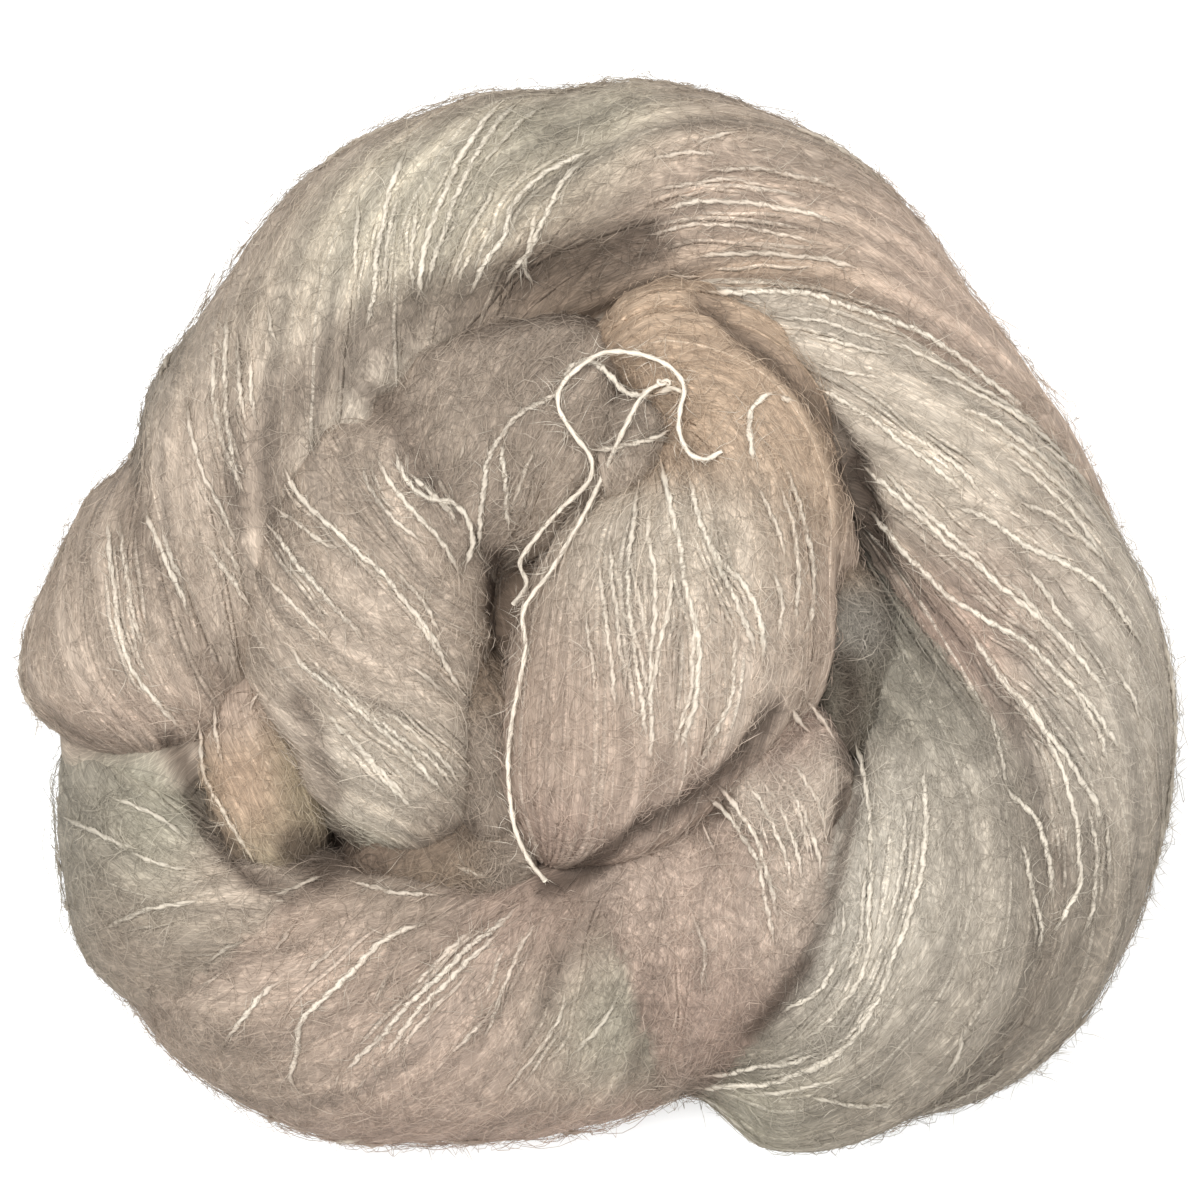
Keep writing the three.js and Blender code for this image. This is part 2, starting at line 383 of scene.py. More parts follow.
@dataclass(frozen=True)
class Lobe:
    """The yarns between two creases of a rope.

    `after` and `before` are the numbers of those creases, or None at a rope's end. `lays` are rows
    at the inner side, crown and outer side of yarns that run there, in order of the crown.
    `fuzz` is how thick its halo is, `streaks` how uneven its yarns are in colour, and `wild` the
    share of its halo that lies across the yarns.
    """

    name: str
    after: int | None
    before: int | None
    lays: tuple[tuple[float, float, float], ...]
    dyes_and_shade: tuple[DyeAndShade, ...]
    fuzz: float = 1.0
    streaks: float = 0.05
    wild: float = 0.4

    def run(self, crown: Array, w: Array) -> Array:
        """The row numbers of yarns at turns round the rope.

        Args:
            crown: The row at which each yarn crosses the crown.
            w: Turns, in an array that broadcasts with crown.

        Returns:
            Row numbers in the broadcast shape.
        """
        table = np.array(self.lays, float)
        rows = table[:, Mark.CROWN]
        inside = np.clip(crown, rows[0], rows[-1])
        k = np.clip(np.searchsorted(rows, inside, side="right") - 1, 0, max(len(rows) - 2, 0))
        nxt = np.minimum(k + 1, len(rows) - 1)
        span = np.maximum(rows[nxt] - rows[k], 1e-6)
        part = np.where(nxt > k, (inside - rows[k]) / span, 0)
        low = place_along(table[k], w)
        high = place_along(table[nxt], w)
        return low * (1 - part) + high * part + (crown - inside)

    def crown(self, u: Array, w: Array) -> Array:
        """The row at which the yarn through each place crosses the crown."""
        rows = np.linspace(-8, 28, 361)
        crowns = np.empty(u.shape)
        for turn in np.unique(w):
            there = w == turn
            along = np.maximum.accumulate(self.run(rows, np.full(1, turn)))
            crowns[there] = np.interp(u[there], along, rows)
        return crowns

    def lean(self) -> float:
        """How many rows its yarns run on between the inner and the outer side."""
        return float(np.mean([lay[Mark.OUTER] - lay[Mark.INNER] for lay in self.lays]))

    def tint(self, u: Array, w: Array) -> Array:
        """The colour at row numbers and turns, blended from the places of dye and of painted shade.

        Args:
            u: Row numbers.
            w: Turns.

        Returns:
            Red, green and blue in the last axis, as the eye sees them.
        """
        row, turn = DYE_AND_SHADE_SCALE
        far = np.stack([((u - d.u) * row) ** 2 + ((w - d.w) * turn) ** 2 for d in self.dyes_and_shade], -1)
        share = 1 / (far + DYE_AND_SHADE_BLUR) ** 2
        share /= share.sum(-1, keepdims=True)
        return share @ np.array([d.colour for d in self.dyes_and_shade])


@dataclass(frozen=True)
class Rope:
    """A stretch of the rope: its sections, the creases between its lobes, and the lobes."""

    name: str
    sections: Array
    lobes: tuple[Lobe, ...]
    creases: Array = field(default_factory=lambda: np.zeros((0, 5)))

    @property
    def last(self) -> int:
        """The last row number."""
        return len(self.sections) - 1

    def length(self) -> float:
        """The length of its centre line, in millimetres."""
        return float(np.hypot(*np.diff(self.sections[:, :2], axis=0).T).sum())

    def column(self, name: Column, u: Array) -> Array:
        """One column of the sections at row numbers."""
        return smooth(self.sections[:, name], u)

    def within(self, u: Array) -> Array:
        """Row numbers, kept a little away from the rope's ends."""
        return np.clip(u, NEAR_END, self.last - NEAR_END)

    def cap(self, u: Array) -> Array:
        """The share of its full girth that the rope has at row numbers."""
        from_end = np.clip(np.minimum(u, self.last - u) / END_CAP_ROWS, 0, 1)
        return np.sqrt(1 - (1 - from_end) ** 2)

    def point(self, u: Array, w: Array, drop: Array | float = 0.0) -> Array:
        """Points of the rope's surface, drawn in by a drop.

        Args:
            u: Row numbers.
            w: Turns round the rope.
            drop: How far the surface is drawn in, in millimetres.

        Returns:
            Points in the last axis, in millimetres.
        """
        u, w = np.broadcast_arrays(np.asarray(u, float), np.asarray(w, float))
        x, y, half, top, base = (self.column(name, u) for name in Column)
        after, before = np.minimum(u + FACING, self.last), np.maximum(u - FACING, 0)
        dx = self.column(Column.X, after) - self.column(Column.X, before)
        dy = self.column(Column.Y, after) - self.column(Column.Y, before)
        step = np.hypot(dx, dy)
        cap, turn = self.cap(u), np.pi * (1 - w)
        out = np.maximum(0, half - drop) * cap * np.cos(turn)
        up = np.maximum(0, (top - base) / 2 - drop) * cap * np.sin(turn)
        return np.stack([x - dy / step * out, y + dx / step * out, (top + base) / 2 + up], -1)

    def slopes(self, u: Array, w: Array) -> tuple[Array, Array]:
        """How far and which way points of the surface move for a row, and for a turn."""
        here = self.point(u, w)
        along = (self.point(u + ROW_STEP, w) - here) / ROW_STEP
        return along, (self.point(u, w + TURN_STEP) - here) / TURN_STEP

    def creased(self, u: Array, w: Array) -> tuple[Array, Array]:
        """How the creases and the hollows draw the surface in, and how much painted shade darkens them.

        Args:
            u: Row numbers.
            w: Turns round the rope.

        Returns:
            The drop in millimetres, and the painted shade between 0 and 1.
        """
        u, w = np.broadcast_arrays(np.asarray(u, float), np.asarray(w, float))
        here = self.point(u, w)
        underneath = np.maximum(-w, w - CREASE_END + CREASE_FADE)
        shown = np.clip(1 - underneath / CREASE_FADE, 0, 1)
        drop, painted_shade = np.zeros(u.shape), np.zeros(u.shape)
        for crease in self.creases:
            there = np.abs(place_along(crease, w) - u) < CREASE_ROWS
            turn, spots = w[there], here[there]
            bottom = self.point(place_along(crease, turn), turn)
            ahead = self.point(place_along(crease, turn + SLIGHT), turn + SLIGHT)
            run = unit(ahead - self.point(place_along(crease, turn - SLIGHT), turn - SLIGHT))
            aside = spots - bottom
            away = np.linalg.norm(np.cross(aside, run), axis=-1) / crease[Mark.REACH]
            beside = np.linalg.norm(aside, axis=-1) < 3 * crease[Mark.REACH]
            valley = np.where(beside, np.clip(1 - away**2, 0, None) ** 2, 0)
            drop[there] = np.maximum(drop[there], crease[Mark.DEPTH] * valley)
            # Painted shade: the colour darkens along the bottom of each crease.
            painted_shade[there] = np.maximum(painted_shade[there], CREASE_PAINTED_SHADE * crease[Mark.DEPTH] * valley**4)
        # The hollows' drop and painted shade join the creases'.
        hollow_drop, hollow_painted_shade = hollowed(here)
        past_sides = np.maximum(-w, w - 1)
        open_side = np.clip(1 - past_sides / HOLLOW_FADE, 0, 1)
        drop = np.maximum(drop * shown, hollow_drop * open_side)
        return drop, np.maximum(painted_shade * shown, hollow_painted_shade * open_side)

    def surface(self, u: Array, w: Array, lift: Array | float = 0.0) -> tuple[Array, Array]:
        """Points and colours at a lift above the creased surface, with painted shade in the creases and
        hollows.

        Args:
            u: Row numbers.
            w: Turns round the rope.
            lift: How far above it, in millimetres.

        Returns:
            Points, none of them under the ground, and colours, each in the last axis.
        """
        drop, painted_shade = self.creased(u, w)
        points = self.point(u, w, drop - lift)
        points[..., 2] = np.maximum(points[..., 2], FLOOR_GAP)
        # Painted shade: colours are mixed towards a dark shade colour in the creases and hollows.
        return points, mixed(self.tint(u, w), PAINTED_SHADE_COLOUR, painted_shade[..., None])

    def edges(self, lobe: Lobe, w: Array) -> tuple[Array, Array]:
        """The rows between which a lobe lies, at turns round the rope."""
        low, high = np.full(np.shape(w), -0.3), np.full(np.shape(w), self.last + 0.3)
        if lobe.after is not None:
            low = place_along(self.creases[lobe.after], w)
        if lobe.before is not None:
            high = place_along(self.creases[lobe.before], w)
        return low, high

    def lobe_numbers(self, u: Array, w: Array) -> Array:
        """The number of the lobe that holds each place."""
        numbers = np.zeros(np.shape(u), int)
        for i, lobe in enumerate(self.lobes):
            low, _ = self.edges(lobe, w)
            if lobe.after is not None:
                numbers = np.where(u >= low, i, numbers)
        return numbers

    def tint(self, u: Array, w: Array) -> Array:
        """The colour, dyed and with painted shade at the outer sides, at row numbers and turns, each from
        the lobe that holds it.
        """
        u, w = np.broadcast_arrays(u, w)
        numbers = self.lobe_numbers(u, w)
        colours = np.zeros(u.shape + (3,))
        for i, lobe in enumerate(self.lobes):
            there = numbers == i
            across = u[there] - lobe.lean() * (w[there] - 0.5)
            streaks = BAND_CONTRAST * lobe.streaks * ripple(waves(i, *STREAK_WAVES), across, w[there])
            colours[there] = lobe.tint(u[there], w[there]) * (1 + streaks[:, None])
        return colours

    def lay(self, u: Array, w: Array) -> Array:
        """How far places lie along and across the yarns, for patterns that follow them.

        Args:
            u: Row numbers.
            w: Turns round the rope.

        Returns:
            The two distances in millimetres, and zero, in the last axis.
        """
        across = np.zeros(u.shape)
        numbers = self.lobe_numbers(u, w)
        for i, lobe in enumerate(self.lobes):
            there = numbers == i
            across[there] = lobe.crown(u[there], w[there]) * self.length() / self.last
        along = w * math.pi * self.column(Column.HALF, u)
        return np.stack([along, across, np.zeros(u.shape)], -1)

    def bundles(self, u: Array, w: Array) -> Array:
        """The height of the low ridges that bundles of yarn make, in millimetres."""
        u, w = np.broadcast_arrays(u, w)
        heights = np.zeros(u.shape)
        numbers = self.lobe_numbers(u, w)
        for i, lobe in enumerate(self.lobes):
            there = numbers == i
            across = u[there] - lobe.lean() * (w[there] - 0.5)
            heights[there] = BUNDLE_HEIGHT * ripple(waves(i, *RIDGE_WAVES), across, w[there])
        return heights

    def holds(self, points: Array, margin: float) -> Array:
        """Tells which points lie inside the rope, deeper than a margin.

        Args:
            points: Points in the last axis, in millimetres.
            margin: The depth, in millimetres.

        Returns:
            True for each point inside.
        """
        u = np.linspace(0.15, self.last - 0.15, self.last * 10)
        x, y, half, top, base = (self.column(name, u) for name in Column)
        cap = self.cap(u)
        inside = np.zeros(points.shape[:-1], bool)
        for i in range(len(u)):
            wide = max(half[i] * cap[i] - margin, 0.1)
            tall = max((top[i] - base[i]) / 2 * cap[i] - margin, 0.1)
            beside = np.abs(points[..., 0] - x[i]) < wide
            near = ~inside & beside & (np.abs(points[..., 1] - y[i]) < wide)
            spots = points[near]
            flat = np.hypot(spots[:, 0] - x[i], spots[:, 1] - y[i]) / wide
            inside[near] = flat**2 + ((spots[:, 2] - (top[i] + base[i]) / 2) / tall) ** 2 < 1
        return inside


# The outer coil's darker colours near turn 1, at its outer side, are painted shade.
OUTER_COIL = Rope(
    "outer_coil",
    np.array([
        (-58.5, -19.5, 11.0, 31.0, 4.0), (-58.3, -10.0, 16.7, 35.0, 0.0), (-54.5, 1.8, 16.3, 36.5, -1.0),
        (-48.5, 14.6, 15.6, 37.0, -1.0), (-39.0, 28.8, 16.0, 38.0, -1.0), (-26.3, 42.5, 18.0, 38.0, -1.0),
        (-9.4, 50.0, 18.5, 37.0, -1.0), (8.9, 50.0, 18.5, 36.0, -1.0), (25.2, 42.5, 18.0, 37.0, -1.0),
        (36.5, 29.5, 16.8, 38.0, -1.0), (47.0, 14.5, 17.6, 39.0, -1.0), (53.0, -3.5, 20.5, 39.0, -1.0),
        (51.9, -21.0, 22.5, 39.0, -1.0), (42.3, -36.2, 26.5, 38.0, -1.0), (25.8, -44.5, 25.5, 38.0, -1.0),
        (7.6, -45.2, 20.5, 37.0, -1.0), (-12.0, -49.7, 18.5, 36.0, -1.0), (-34.0, -49.0, 18.7, 35.0, -1.0),
        (-52.5, -37.5, 16.0, 31.0, -1.0), (-58.3, -23.0, 13.0, 26.0, -1.0),
        (-59.6, -10.0, 11.0, 20.0, 0.0),
    ]),
    creases=np.array([
        (0.3, 2.2, 3.0, 2.5, 9), (6.5, 6.4, 6.3, 1.6, 11), (5.3, 8.2, 10.7, 2.2, 9),
        (9.2, 11.8, 13.8, 2.2, 9), (12.0, 14.0, 14.8, 4.0, 9), (15.6, 15.2, 15.1, 1.6, 8),
        (17.3, 17.6, 17.9, 1.2, 8),
    ]),
    lobes=(
        Lobe(
            "left_end", None, 0,
            ((-1.4, 1.2, 3.8), (0.1, 2.24, 4.35)),
            (
                DyeAndShade(0.6, 0.5, PINK_SAND), DyeAndShade(2.6, 0.9, TAUPE), DyeAndShade(1.2, 0.95, TAUPE),
                DyeAndShade(1.4, 0.6, SAND), DyeAndShade(0.0, 0.5, TAUPE),
            ),
            0.9, 0.05, 0.2,
        ),
        Lobe(
            "top_left", 0, 2,
            (
                (0.3, 2.93, 4.0), (1.5, 3.37, 5.25), (2.9, 4.79, 6.7), (3.4, 4.86, 6.3),
                (4.1, 5.45, 6.9), (3.7, 5.74, 7.75), (4.7, 6.07, 8.0), (5.0, 6.49, 8.3),
                (2.5, 6.88, 11.2), (4.1, 7.6, 11.1), (5.3, 8.24, 11.2),
            ),
            (
                DyeAndShade(2.6, 0.4, SAND), DyeAndShade(3.2, 0.6, SAND), DyeAndShade(4.4, 0.3, CREAM), DyeAndShade(4.6, 0.95, TAUPE),
                DyeAndShade(5.4, 0.6, CREAM_GREEN), DyeAndShade(5.4, 0.15, SAND), DyeAndShade(6.4, 0.75, GREY_GREEN),
                DyeAndShade(6.1, 0.2, EARTH), DyeAndShade(6.8, 0.12, UMBER), DyeAndShade(7.2, 0.6, PINK_SAND),
                DyeAndShade(8.6, 0.85, PINK_SAND), DyeAndShade(7.9, 0.3, TAN), DyeAndShade(7.3, 0.95, TAUPE),
                DyeAndShade(3.4, 0.95, RIM_SHADE), DyeAndShade(5.9, 0.97, TAUPE),
            ),
            0.8, 0.09, 0.2,
        ),
        Lobe(
            "right", 2, 3,
            (
                (5.3, 8.24, 11.2), (5.9, 8.86, 11.8), (5.7, 9.68, 12.4), (6.9, 10.42, 12.2),
                (7.6, 11.13, 13.75),
            ),
            (
                DyeAndShade(8.0, 0.3, CREAM), DyeAndShade(9.6, 0.5, CREAM), DyeAndShade(11.5, 0.7, MIST), DyeAndShade(11.9, 0.95, RIM_SHADE),
                DyeAndShade(9.8, 0.12, TAUPE), DyeAndShade(12.8, 0.95, RIM_SHADE), DyeAndShade(10.5, 0.97, MIST),
                DyeAndShade(10.9, 0.3, DUSKY_ROSE),
            ),
            0.65, 0.10, 0.18,
        ),
        Lobe(
            "lower_right", 3, 4,
            ((9.2, 11.7, 14.1), (9.7, 13.07, 16.5), (11.1, 13.6, 15.15), (11.7, 13.8, 15.5)),
            (
                DyeAndShade(10.6, 0.12, SLATE), DyeAndShade(11.6, 0.2, SLATE), DyeAndShade(12.5, 0.14, STONE),
                DyeAndShade(12.85, 0.28, PALE_GREEN), DyeAndShade(13.15, 0.38, PALE_GREEN), DyeAndShade(13.7, 0.36, PALE_GREEN),
                DyeAndShade(12.6, 0.5, STONE), DyeAndShade(13.2, 0.65, STONE), DyeAndShade(13.8, 0.85, RIM_SHADE),
                DyeAndShade(13.0, 0.92, RIM_SHADE), DyeAndShade(14.5, 0.85, GREY_GREEN), DyeAndShade(12.4, 0.8, RIM_SHADE),
            ),
            1.1, 0.06, 0.35,
        ),
        Lobe(
            "front_right", 4, 5,
            ((13.6, 13.95, 14.8), (14.8, 14.45, 15.1)),
            (
                DyeAndShade(13.4, 0.15, BLUSH), DyeAndShade(14.4, 0.3, ROSE), DyeAndShade(14.6, 0.65, DUSKY_ROSE),
                DyeAndShade(15.2, 0.9, TAUPE), DyeAndShade(13.7, 0.35, BLUSH),
            ),
            1.2, 0.04, 0.5,
        ),
        Lobe(
            "front", 5, 6,
            (
                (15.0, 15.68, 16.4), (14.7, 16.0, 16.85), (14.6, 16.3, 17.0),
                (13.4, 17.08, 17.2), (15.4, 17.48, 17.5),
            ),
            (
                DyeAndShade(15.3, 0.6, GREY_GREEN), DyeAndShade(15.8, 0.3, DUSKY_ROSE), DyeAndShade(16.2, 0.6, ROSE),
                DyeAndShade(17.0, 0.4, PINK_SAND), DyeAndShade(17.3, 0.8, TAUPE), DyeAndShade(15.6, 0.92, DUSKY_ROSE),
                DyeAndShade(16.6, 0.2, TAUPE), DyeAndShade(16.6, 0.9, DUSKY_ROSE),
            ),
            0.95, 0.05, 0.28,
        ),
        Lobe(
            "left_front", 6, None,
            ((15.9, 18.06, 18.5), (16.2, 18.34, 19.06), (16.8, 18.6, 20.45)),
            (
                DyeAndShade(18.0, 0.3, SAND), DyeAndShade(18.8, 0.45, GREY_GREEN), DyeAndShade(18.6, 0.8, SLATE),
                DyeAndShade(20.0, 0.3, TAUPE), DyeAndShade(19.4, 0.8, SLATE), DyeAndShade(18.0, 0.75, TAUPE),
            ),
            1.1, 0.05, 0.28,
        ),
    ),
)
SMALL_LOBE = Rope(
    "small_lobe",
    np.array([
        (-38.7, -41.3, 6.0, 22.0, 2.0), (-42.9, -32.1, 9.0, 28.0, 1.0), (-43.9, -21.7, 9.0, 31.0, 1.0),
        (-44.6, -12.6, 8.5, 30.0, 1.0), (-42.9, -4.1, 6.0, 26.0, 2.0),
    ]),
    (
        Lobe(
            "small", None, None,
            ((-4.0, -0.6, 2.6), (-2.4, 1.4, 4.4), (-0.8, 3.2, 6.6)),
            (
                DyeAndShade(2.0, 0.2, OLIVE), DyeAndShade(2.0, 0.55, ORANGE), DyeAndShade(3.2, 0.6, PINK_SAND), DyeAndShade(0.6, 0.5, OLIVE),
                DyeAndShade(1.6, 0.9, OLIVE),
            ),
            1.0, 0.05, 0.3,
        ),
    ),
)
INNER_COIL = Rope(
    "inner_coil",
    np.array([
        (-21.5, -34.0, 9.0, 26.0, 2.0), (-23.5, -23.5, 12.5, 34.0, 1.0), (-28.0, -10.5, 15.5, 39.0, 1.0),
        (-29.5, 2.5, 18.0, 41.0, 1.0), (-24.0, 15.5, 18.0, 41.0, 1.0), (-13.0, 24.5, 18.0, 39.0, 1.0),
        (-1.5, 29.0, 15.0, 37.0, 1.0), (6.9, 31.1, 8.0, 32.0, 4.0),
    ]),
    creases=np.array([(3.5, 4.25, 4.4, 2.6, 8)]),
    lobes=(
        Lobe(
            "inner_left", None, 0,
            (
                (-2.2, 0.6, 2.6), (0.2, 2.2, 4.0), (0.9, 2.9, 3.9), (2.3, 3.4, 4.1),
                (3.15, 4.0, 4.8),
            ),
            (
                DyeAndShade(2.6, 0.5, SAND), DyeAndShade(3.6, 0.7, TAUPE), DyeAndShade(1.3, 0.6, CREAM), DyeAndShade(0.3, 0.4, TAUPE),
                DyeAndShade(1.6, 0.95, SAND), DyeAndShade(3.2, 0.2, SAND), DyeAndShade(0.3, 0.8, GREY_GREEN),
                DyeAndShade(3.9, 0.3, SAND),
            ),
            0.8, 0.07, 0.28,
        ),
        Lobe(
            "inner_top", 0, None,
            ((2.6, 5.0, 7.4), (3.3, 6.0, 8.8)),
            (DyeAndShade(5.0, 0.6, TAUPE), DyeAndShade(6.0, 0.6, TAUPE), DyeAndShade(5.4, 0.15, SAND), DyeAndShade(4.9, 0.95, TAUPE)),
            1.5, 0.03, 0.4,
        ),
    ),
)
TOP_LOBE = Rope(
    "top_lobe",
    np.array([
        (-1.6, 32.4, 7.0, 36.0, 6.0), (7.6, 34.4, 10.0, 41.0, 4.0), (17.3, 27.2, 13.0, 44.0, 3.0),
        (18.6, 14.1, 16.0, 46.0, 2.0), (12.1, 0.5, 20.0, 48.0, 2.0), (4.3, -12.8, 17.5, 47.0, 2.0),
        (-2.2, -24.3, 12.5, 43.0, 4.0), (-6.4, -32.8, 5.0, 38.0, 8.0),
    ]),
    creases=np.array([(2.2, 2.9, 3.6, 1.0, 7)]),
    lobes=(
        Lobe(
            "top", None, None,
            (
                (-4.5, 0.3, 5.1), (0.0, 2.6, 4.9), (1.0, 3.3, 6.5), (1.7, 4.05, 7.1),
                (2.0, 4.8, 7.6), (2.8, 8.2, 16.0),
            ),
            (
                DyeAndShade(0.4, 0.5, TAN), DyeAndShade(1.2, 0.5, TAN), DyeAndShade(2.4, 0.75, TAN), DyeAndShade(3.6, 0.4, CREAM),
                DyeAndShade(4.4, 0.6, PALE_ROSE), DyeAndShade(5.4, 0.4, PINK_SAND), DyeAndShade(6.6, 0.5, DUSKY_ROSE),
                DyeAndShade(3.4, 0.95, PINK_SAND), DyeAndShade(5.4, 0.8, ROSE), DyeAndShade(2.2, 0.3, TAN),
            ),
            1.0, 0.06, 0.3,
        ),
    ),
)
# The rope's hidden middle turn lies under the others; its dark umber colour is painted shade for the deep
# gaps where it shows.
HIDDEN_TURN = Rope(
    "hidden_turn",
    np.array([
        (0.0, 38.0, 14.0, 17.0, 0.0), (0.0, 20.0, 30.0, 21.0, -1.0), (-1.0, 0.0, 36.0, 22.0, -1.0),
        (-4.0, -22.0, 38.0, 22.0, -1.0), (-8.0, -44.0, 36.0, 20.0, -1.0),
    ]),
    (
        Lobe(
            "hidden", None, None, ((-1.5, 0.5, 3.0), (1.0, 3.0, 6.0)),
            (DyeAndShade(1.0, 0.5, UMBER), DyeAndShade(3.0, 0.5, UMBER)),
            0.5, 0.04, 0.6,
        ),
    ),
)


def tangle(
    name: str, sections: list[tuple[float, ...]], dyes_and_shade: tuple[DyeAndShade, ...], fuzz: float, streaks: float,
    wild: float,
) -> Rope:
    """A small tangle of matted loose mohair that bridges a hollow, as a short rope of one lobe."""
    lays = ((-2.0, 0.5, 3.0), (0.0, 2.5, 5.0))
    return Rope(name, np.array(sections), (Lobe(name, None, None, lays, dyes_and_shade, fuzz, streaks, wild),))


TANGLES = (
    tangle(
        "eye_tangle",
        [
            (0.8, 11.0, 4.2, 33.0, 12.0), (3.2, 17.5, 6.2, 36.0, 12.0), (5.6, 24.0, 7.0, 37.5, 12.0),
            (6.4, 30.5, 5.5, 37.0, 12.0),
        ],
        (DyeAndShade(1.0, 0.5, SAND), DyeAndShade(2.2, 0.5, TAUPE)),
        fuzz=2.4, streaks=0.03, wild=0.9,
    ),
    tangle(
        "right_tuft",
        [
            (30.5, 9.0, 2.6, 30.0, 14.0), (31.2, 4.0, 4.4, 34.0, 18.0), (32.4, -2.0, 5.2, 34.5, 20.0),
            (33.0, -8.0, 4.8, 32.5, 20.0), (32.6, -14.0, 4.4, 31.0, 18.0), (31.6, -19.5, 3.4, 31.0, 14.0),
        ],
        (DyeAndShade(0.4, 0.5, EARTH), DyeAndShade(1.9, 0.5, GREY), DyeAndShade(3.4, 0.5, MOSS), DyeAndShade(4.6, 0.5, MOSS)),
        fuzz=5.0, streaks=0.03, wild=0.9,
    ),
    tangle(
        "between_tangle",
        [
            (-14.6, -4.0, 3.0, 29.0, 12.0), (-14.6, -11.0, 5.2, 32.0, 12.0),
            (-13.6, -18.0, 5.4, 33.0, 12.0), (-13.4, -25.0, 5.0, 32.0, 12.0),
            (-14.6, -31.0, 4.0, 30.0, 12.0),
        ],
        (DyeAndShade(0.4, 0.5, EARTH), DyeAndShade(2.0, 0.5, TAUPE), DyeAndShade(3.6, 0.5, TAUPE)),
        fuzz=2.4, streaks=0.03, wild=0.6,
    ),
    tangle(
        "left_tangle",
        [
            (-70.0, -13.5, 3.0, 17.5, 10.0), (-66.0, -15.5, 6.5, 21.5, 14.0),
            (-60.0, -15.8, 9.0, 25.5, 18.0), (-54.0, -15.8, 9.0, 27.0, 19.5),
            (-47.5, -15.6, 6.0, 27.0, 20.0),
        ],
        (DyeAndShade(0.4, 0.5, TAUPE), DyeAndShade(2.0, 0.2, GREY_GREEN), DyeAndShade(2.0, 0.8, TAUPE), DyeAndShade(3.6, 0.5, TAUPE)),
        fuzz=5.0, streaks=0.03, wild=1.0,
    ),
    tangle(
        "front_tangle",
        [
            (-33.5, -31.5, 3.5, 23.5, 16.0), (-27.5, -31.6, 6.0, 26.0, 19.0),
            (-20.5, -31.8, 7.0, 27.6, 20.5), (-13.5, -32.0, 6.5, 29.5, 22.0),
            (-7.5, -33.0, 4.0, 30.5, 24.0),
        ],
        (DyeAndShade(0.4, 0.5, UMBER), DyeAndShade(2.0, 0.5, EARTH), DyeAndShade(3.6, 0.5, TAUPE)),
        fuzz=5.0, streaks=0.03, wild=1.0,
    ),
    tangle(
        "step_tangle",
        [
            (15.0, -22.0, 5.0, 32.0, 22.0), (20.5, -21.6, 8.6, 34.5, 23.0), (27.0, -21.0, 9.4, 35.0, 23.0),
            (33.0, -20.6, 7.0, 34.0, 22.0),
        ],
        (DyeAndShade(0.6, 0.3, BLUSH), DyeAndShade(2.4, 0.35, BLUSH), DyeAndShade(1.4, 0.85, DUSKY_ROSE)),
        fuzz=2.6, streaks=0.05, wild=0.6,
    ),
)
ROPES = (OUTER_COIL, SMALL_LOBE, INNER_COIL, TOP_LOBE, *TANGLES, HIDDEN_TURN)


@dataclass(frozen=True)
class Seen:
    """A bright yarn as the photograph shows it.

    `strength` is how bright it is, `pixels` are on its way, `bridge` is how many of its points it
    keeps its height over, and `fade` is how far it fades from its ends, in millimetres.
    """

    strength: float
    pixels: tuple[tuple[int, int], ...]
    bridge: int
    fade: float


def as_seen(*yarns: tuple, bridge: int = 9, fade: float = 4.0) -> tuple[Seen, ...]:
    """Bright yarns, each given as its strength and the pixels on its way."""
    return tuple(Seen(yarn[0], yarn[1:], bridge, fade) for yarn in yarns)


LEFT_END_YARNS = as_seen(
    (0.9, (108, 515), (110, 560), (115, 600), (122, 640), (140, 680), (165, 712), (185, 735)),
    (0.7, (120, 515), (124, 560), (132, 610), (145, 655)),
    (0.5, (113, 575), (120, 630), (133, 660)),
    (0.9, (145, 500), (154, 530), (166, 562), (180, 595), (190, 622)),
    (0.6, (157, 520), (172, 560), (188, 590)),
)
TOP_LEFT_YARNS = as_seen(
    (0.5, (188, 395), (192, 440), (205, 480), (225, 515), (240, 550)),
    (0.6, (212, 345), (213, 390), (220, 430), (236, 475), (244, 500)),
    (0.7, (229, 310), (226, 350), (224, 395), (230, 440), (240, 480), (247, 500)),
    (0.5, (239, 330), (240, 380), (244, 430)),
    (0.4, (249, 350), (252, 400), (258, 430)),
    (0.8, (203, 535), (218, 560), (235, 585), (252, 612)),
    (0.5, (215, 530), (232, 560), (246, 590)),
    (0.35, (268, 300), (272, 330), (285, 350)),
    (1.0, (405, 148), (392, 185), (384, 225), (376, 265), (372, 300), (362, 335)),
    (0.7, (399, 185), (391, 230), (386, 265), (384, 295)),
    (0.6, (420, 190), (414, 240), (412, 270), (412, 300)),
    (0.35, (360, 195), (356, 240), (352, 290)),
    (1.0, (503, 100), (478, 128), (458, 163), (447, 190), (437, 215), (425, 245), (415, 305)),
    (0.8, (520, 100), (492, 128), (472, 163), (458, 195), (447, 225), (434, 258), (425, 290)),
    (0.5, (548, 103), (520, 122), (495, 148), (478, 175)),
    (0.4, (500, 175), (480, 215), (462, 255), (450, 290)),
    (1.0, (597, 146), (575, 158), (545, 175), (520, 195), (508, 215), (503, 235), (485, 262), (468, 300)),
    (0.9, (590, 155), (570, 172), (556, 192), (547, 215), (533, 245), (524, 265), (531, 280), (533, 292)),
    (0.7, (540, 202), (533, 228), (527, 250), (512, 270), (502, 290)),
    (0.4, (480, 240), (465, 265), (455, 295)),
)
TOP_YARNS = as_seen(
    (0.5, (688, 147), (715, 135), (745, 130)),
    (0.45, (740, 150), (775, 149)),
    (0.6, (655, 212), (690, 204), (740, 202), (780, 207), (810, 214), (845, 228)),
    (0.35, (640, 160), (690, 152), (730, 155)),
    (0.35, (700, 172), (760, 170), (815, 180), (850, 192)),
    (0.3, (650, 190), (720, 180), (780, 190)),
    (0.4, (690, 258), (760, 254), (820, 258), (865, 270)),
    (0.9, (668, 273), (685, 277), (703, 277)),
    (0.5, (683, 278), (682, 290), (684, 300)),
    (0.3, (640, 235), (700, 225), (770, 232), (830, 245)),
)
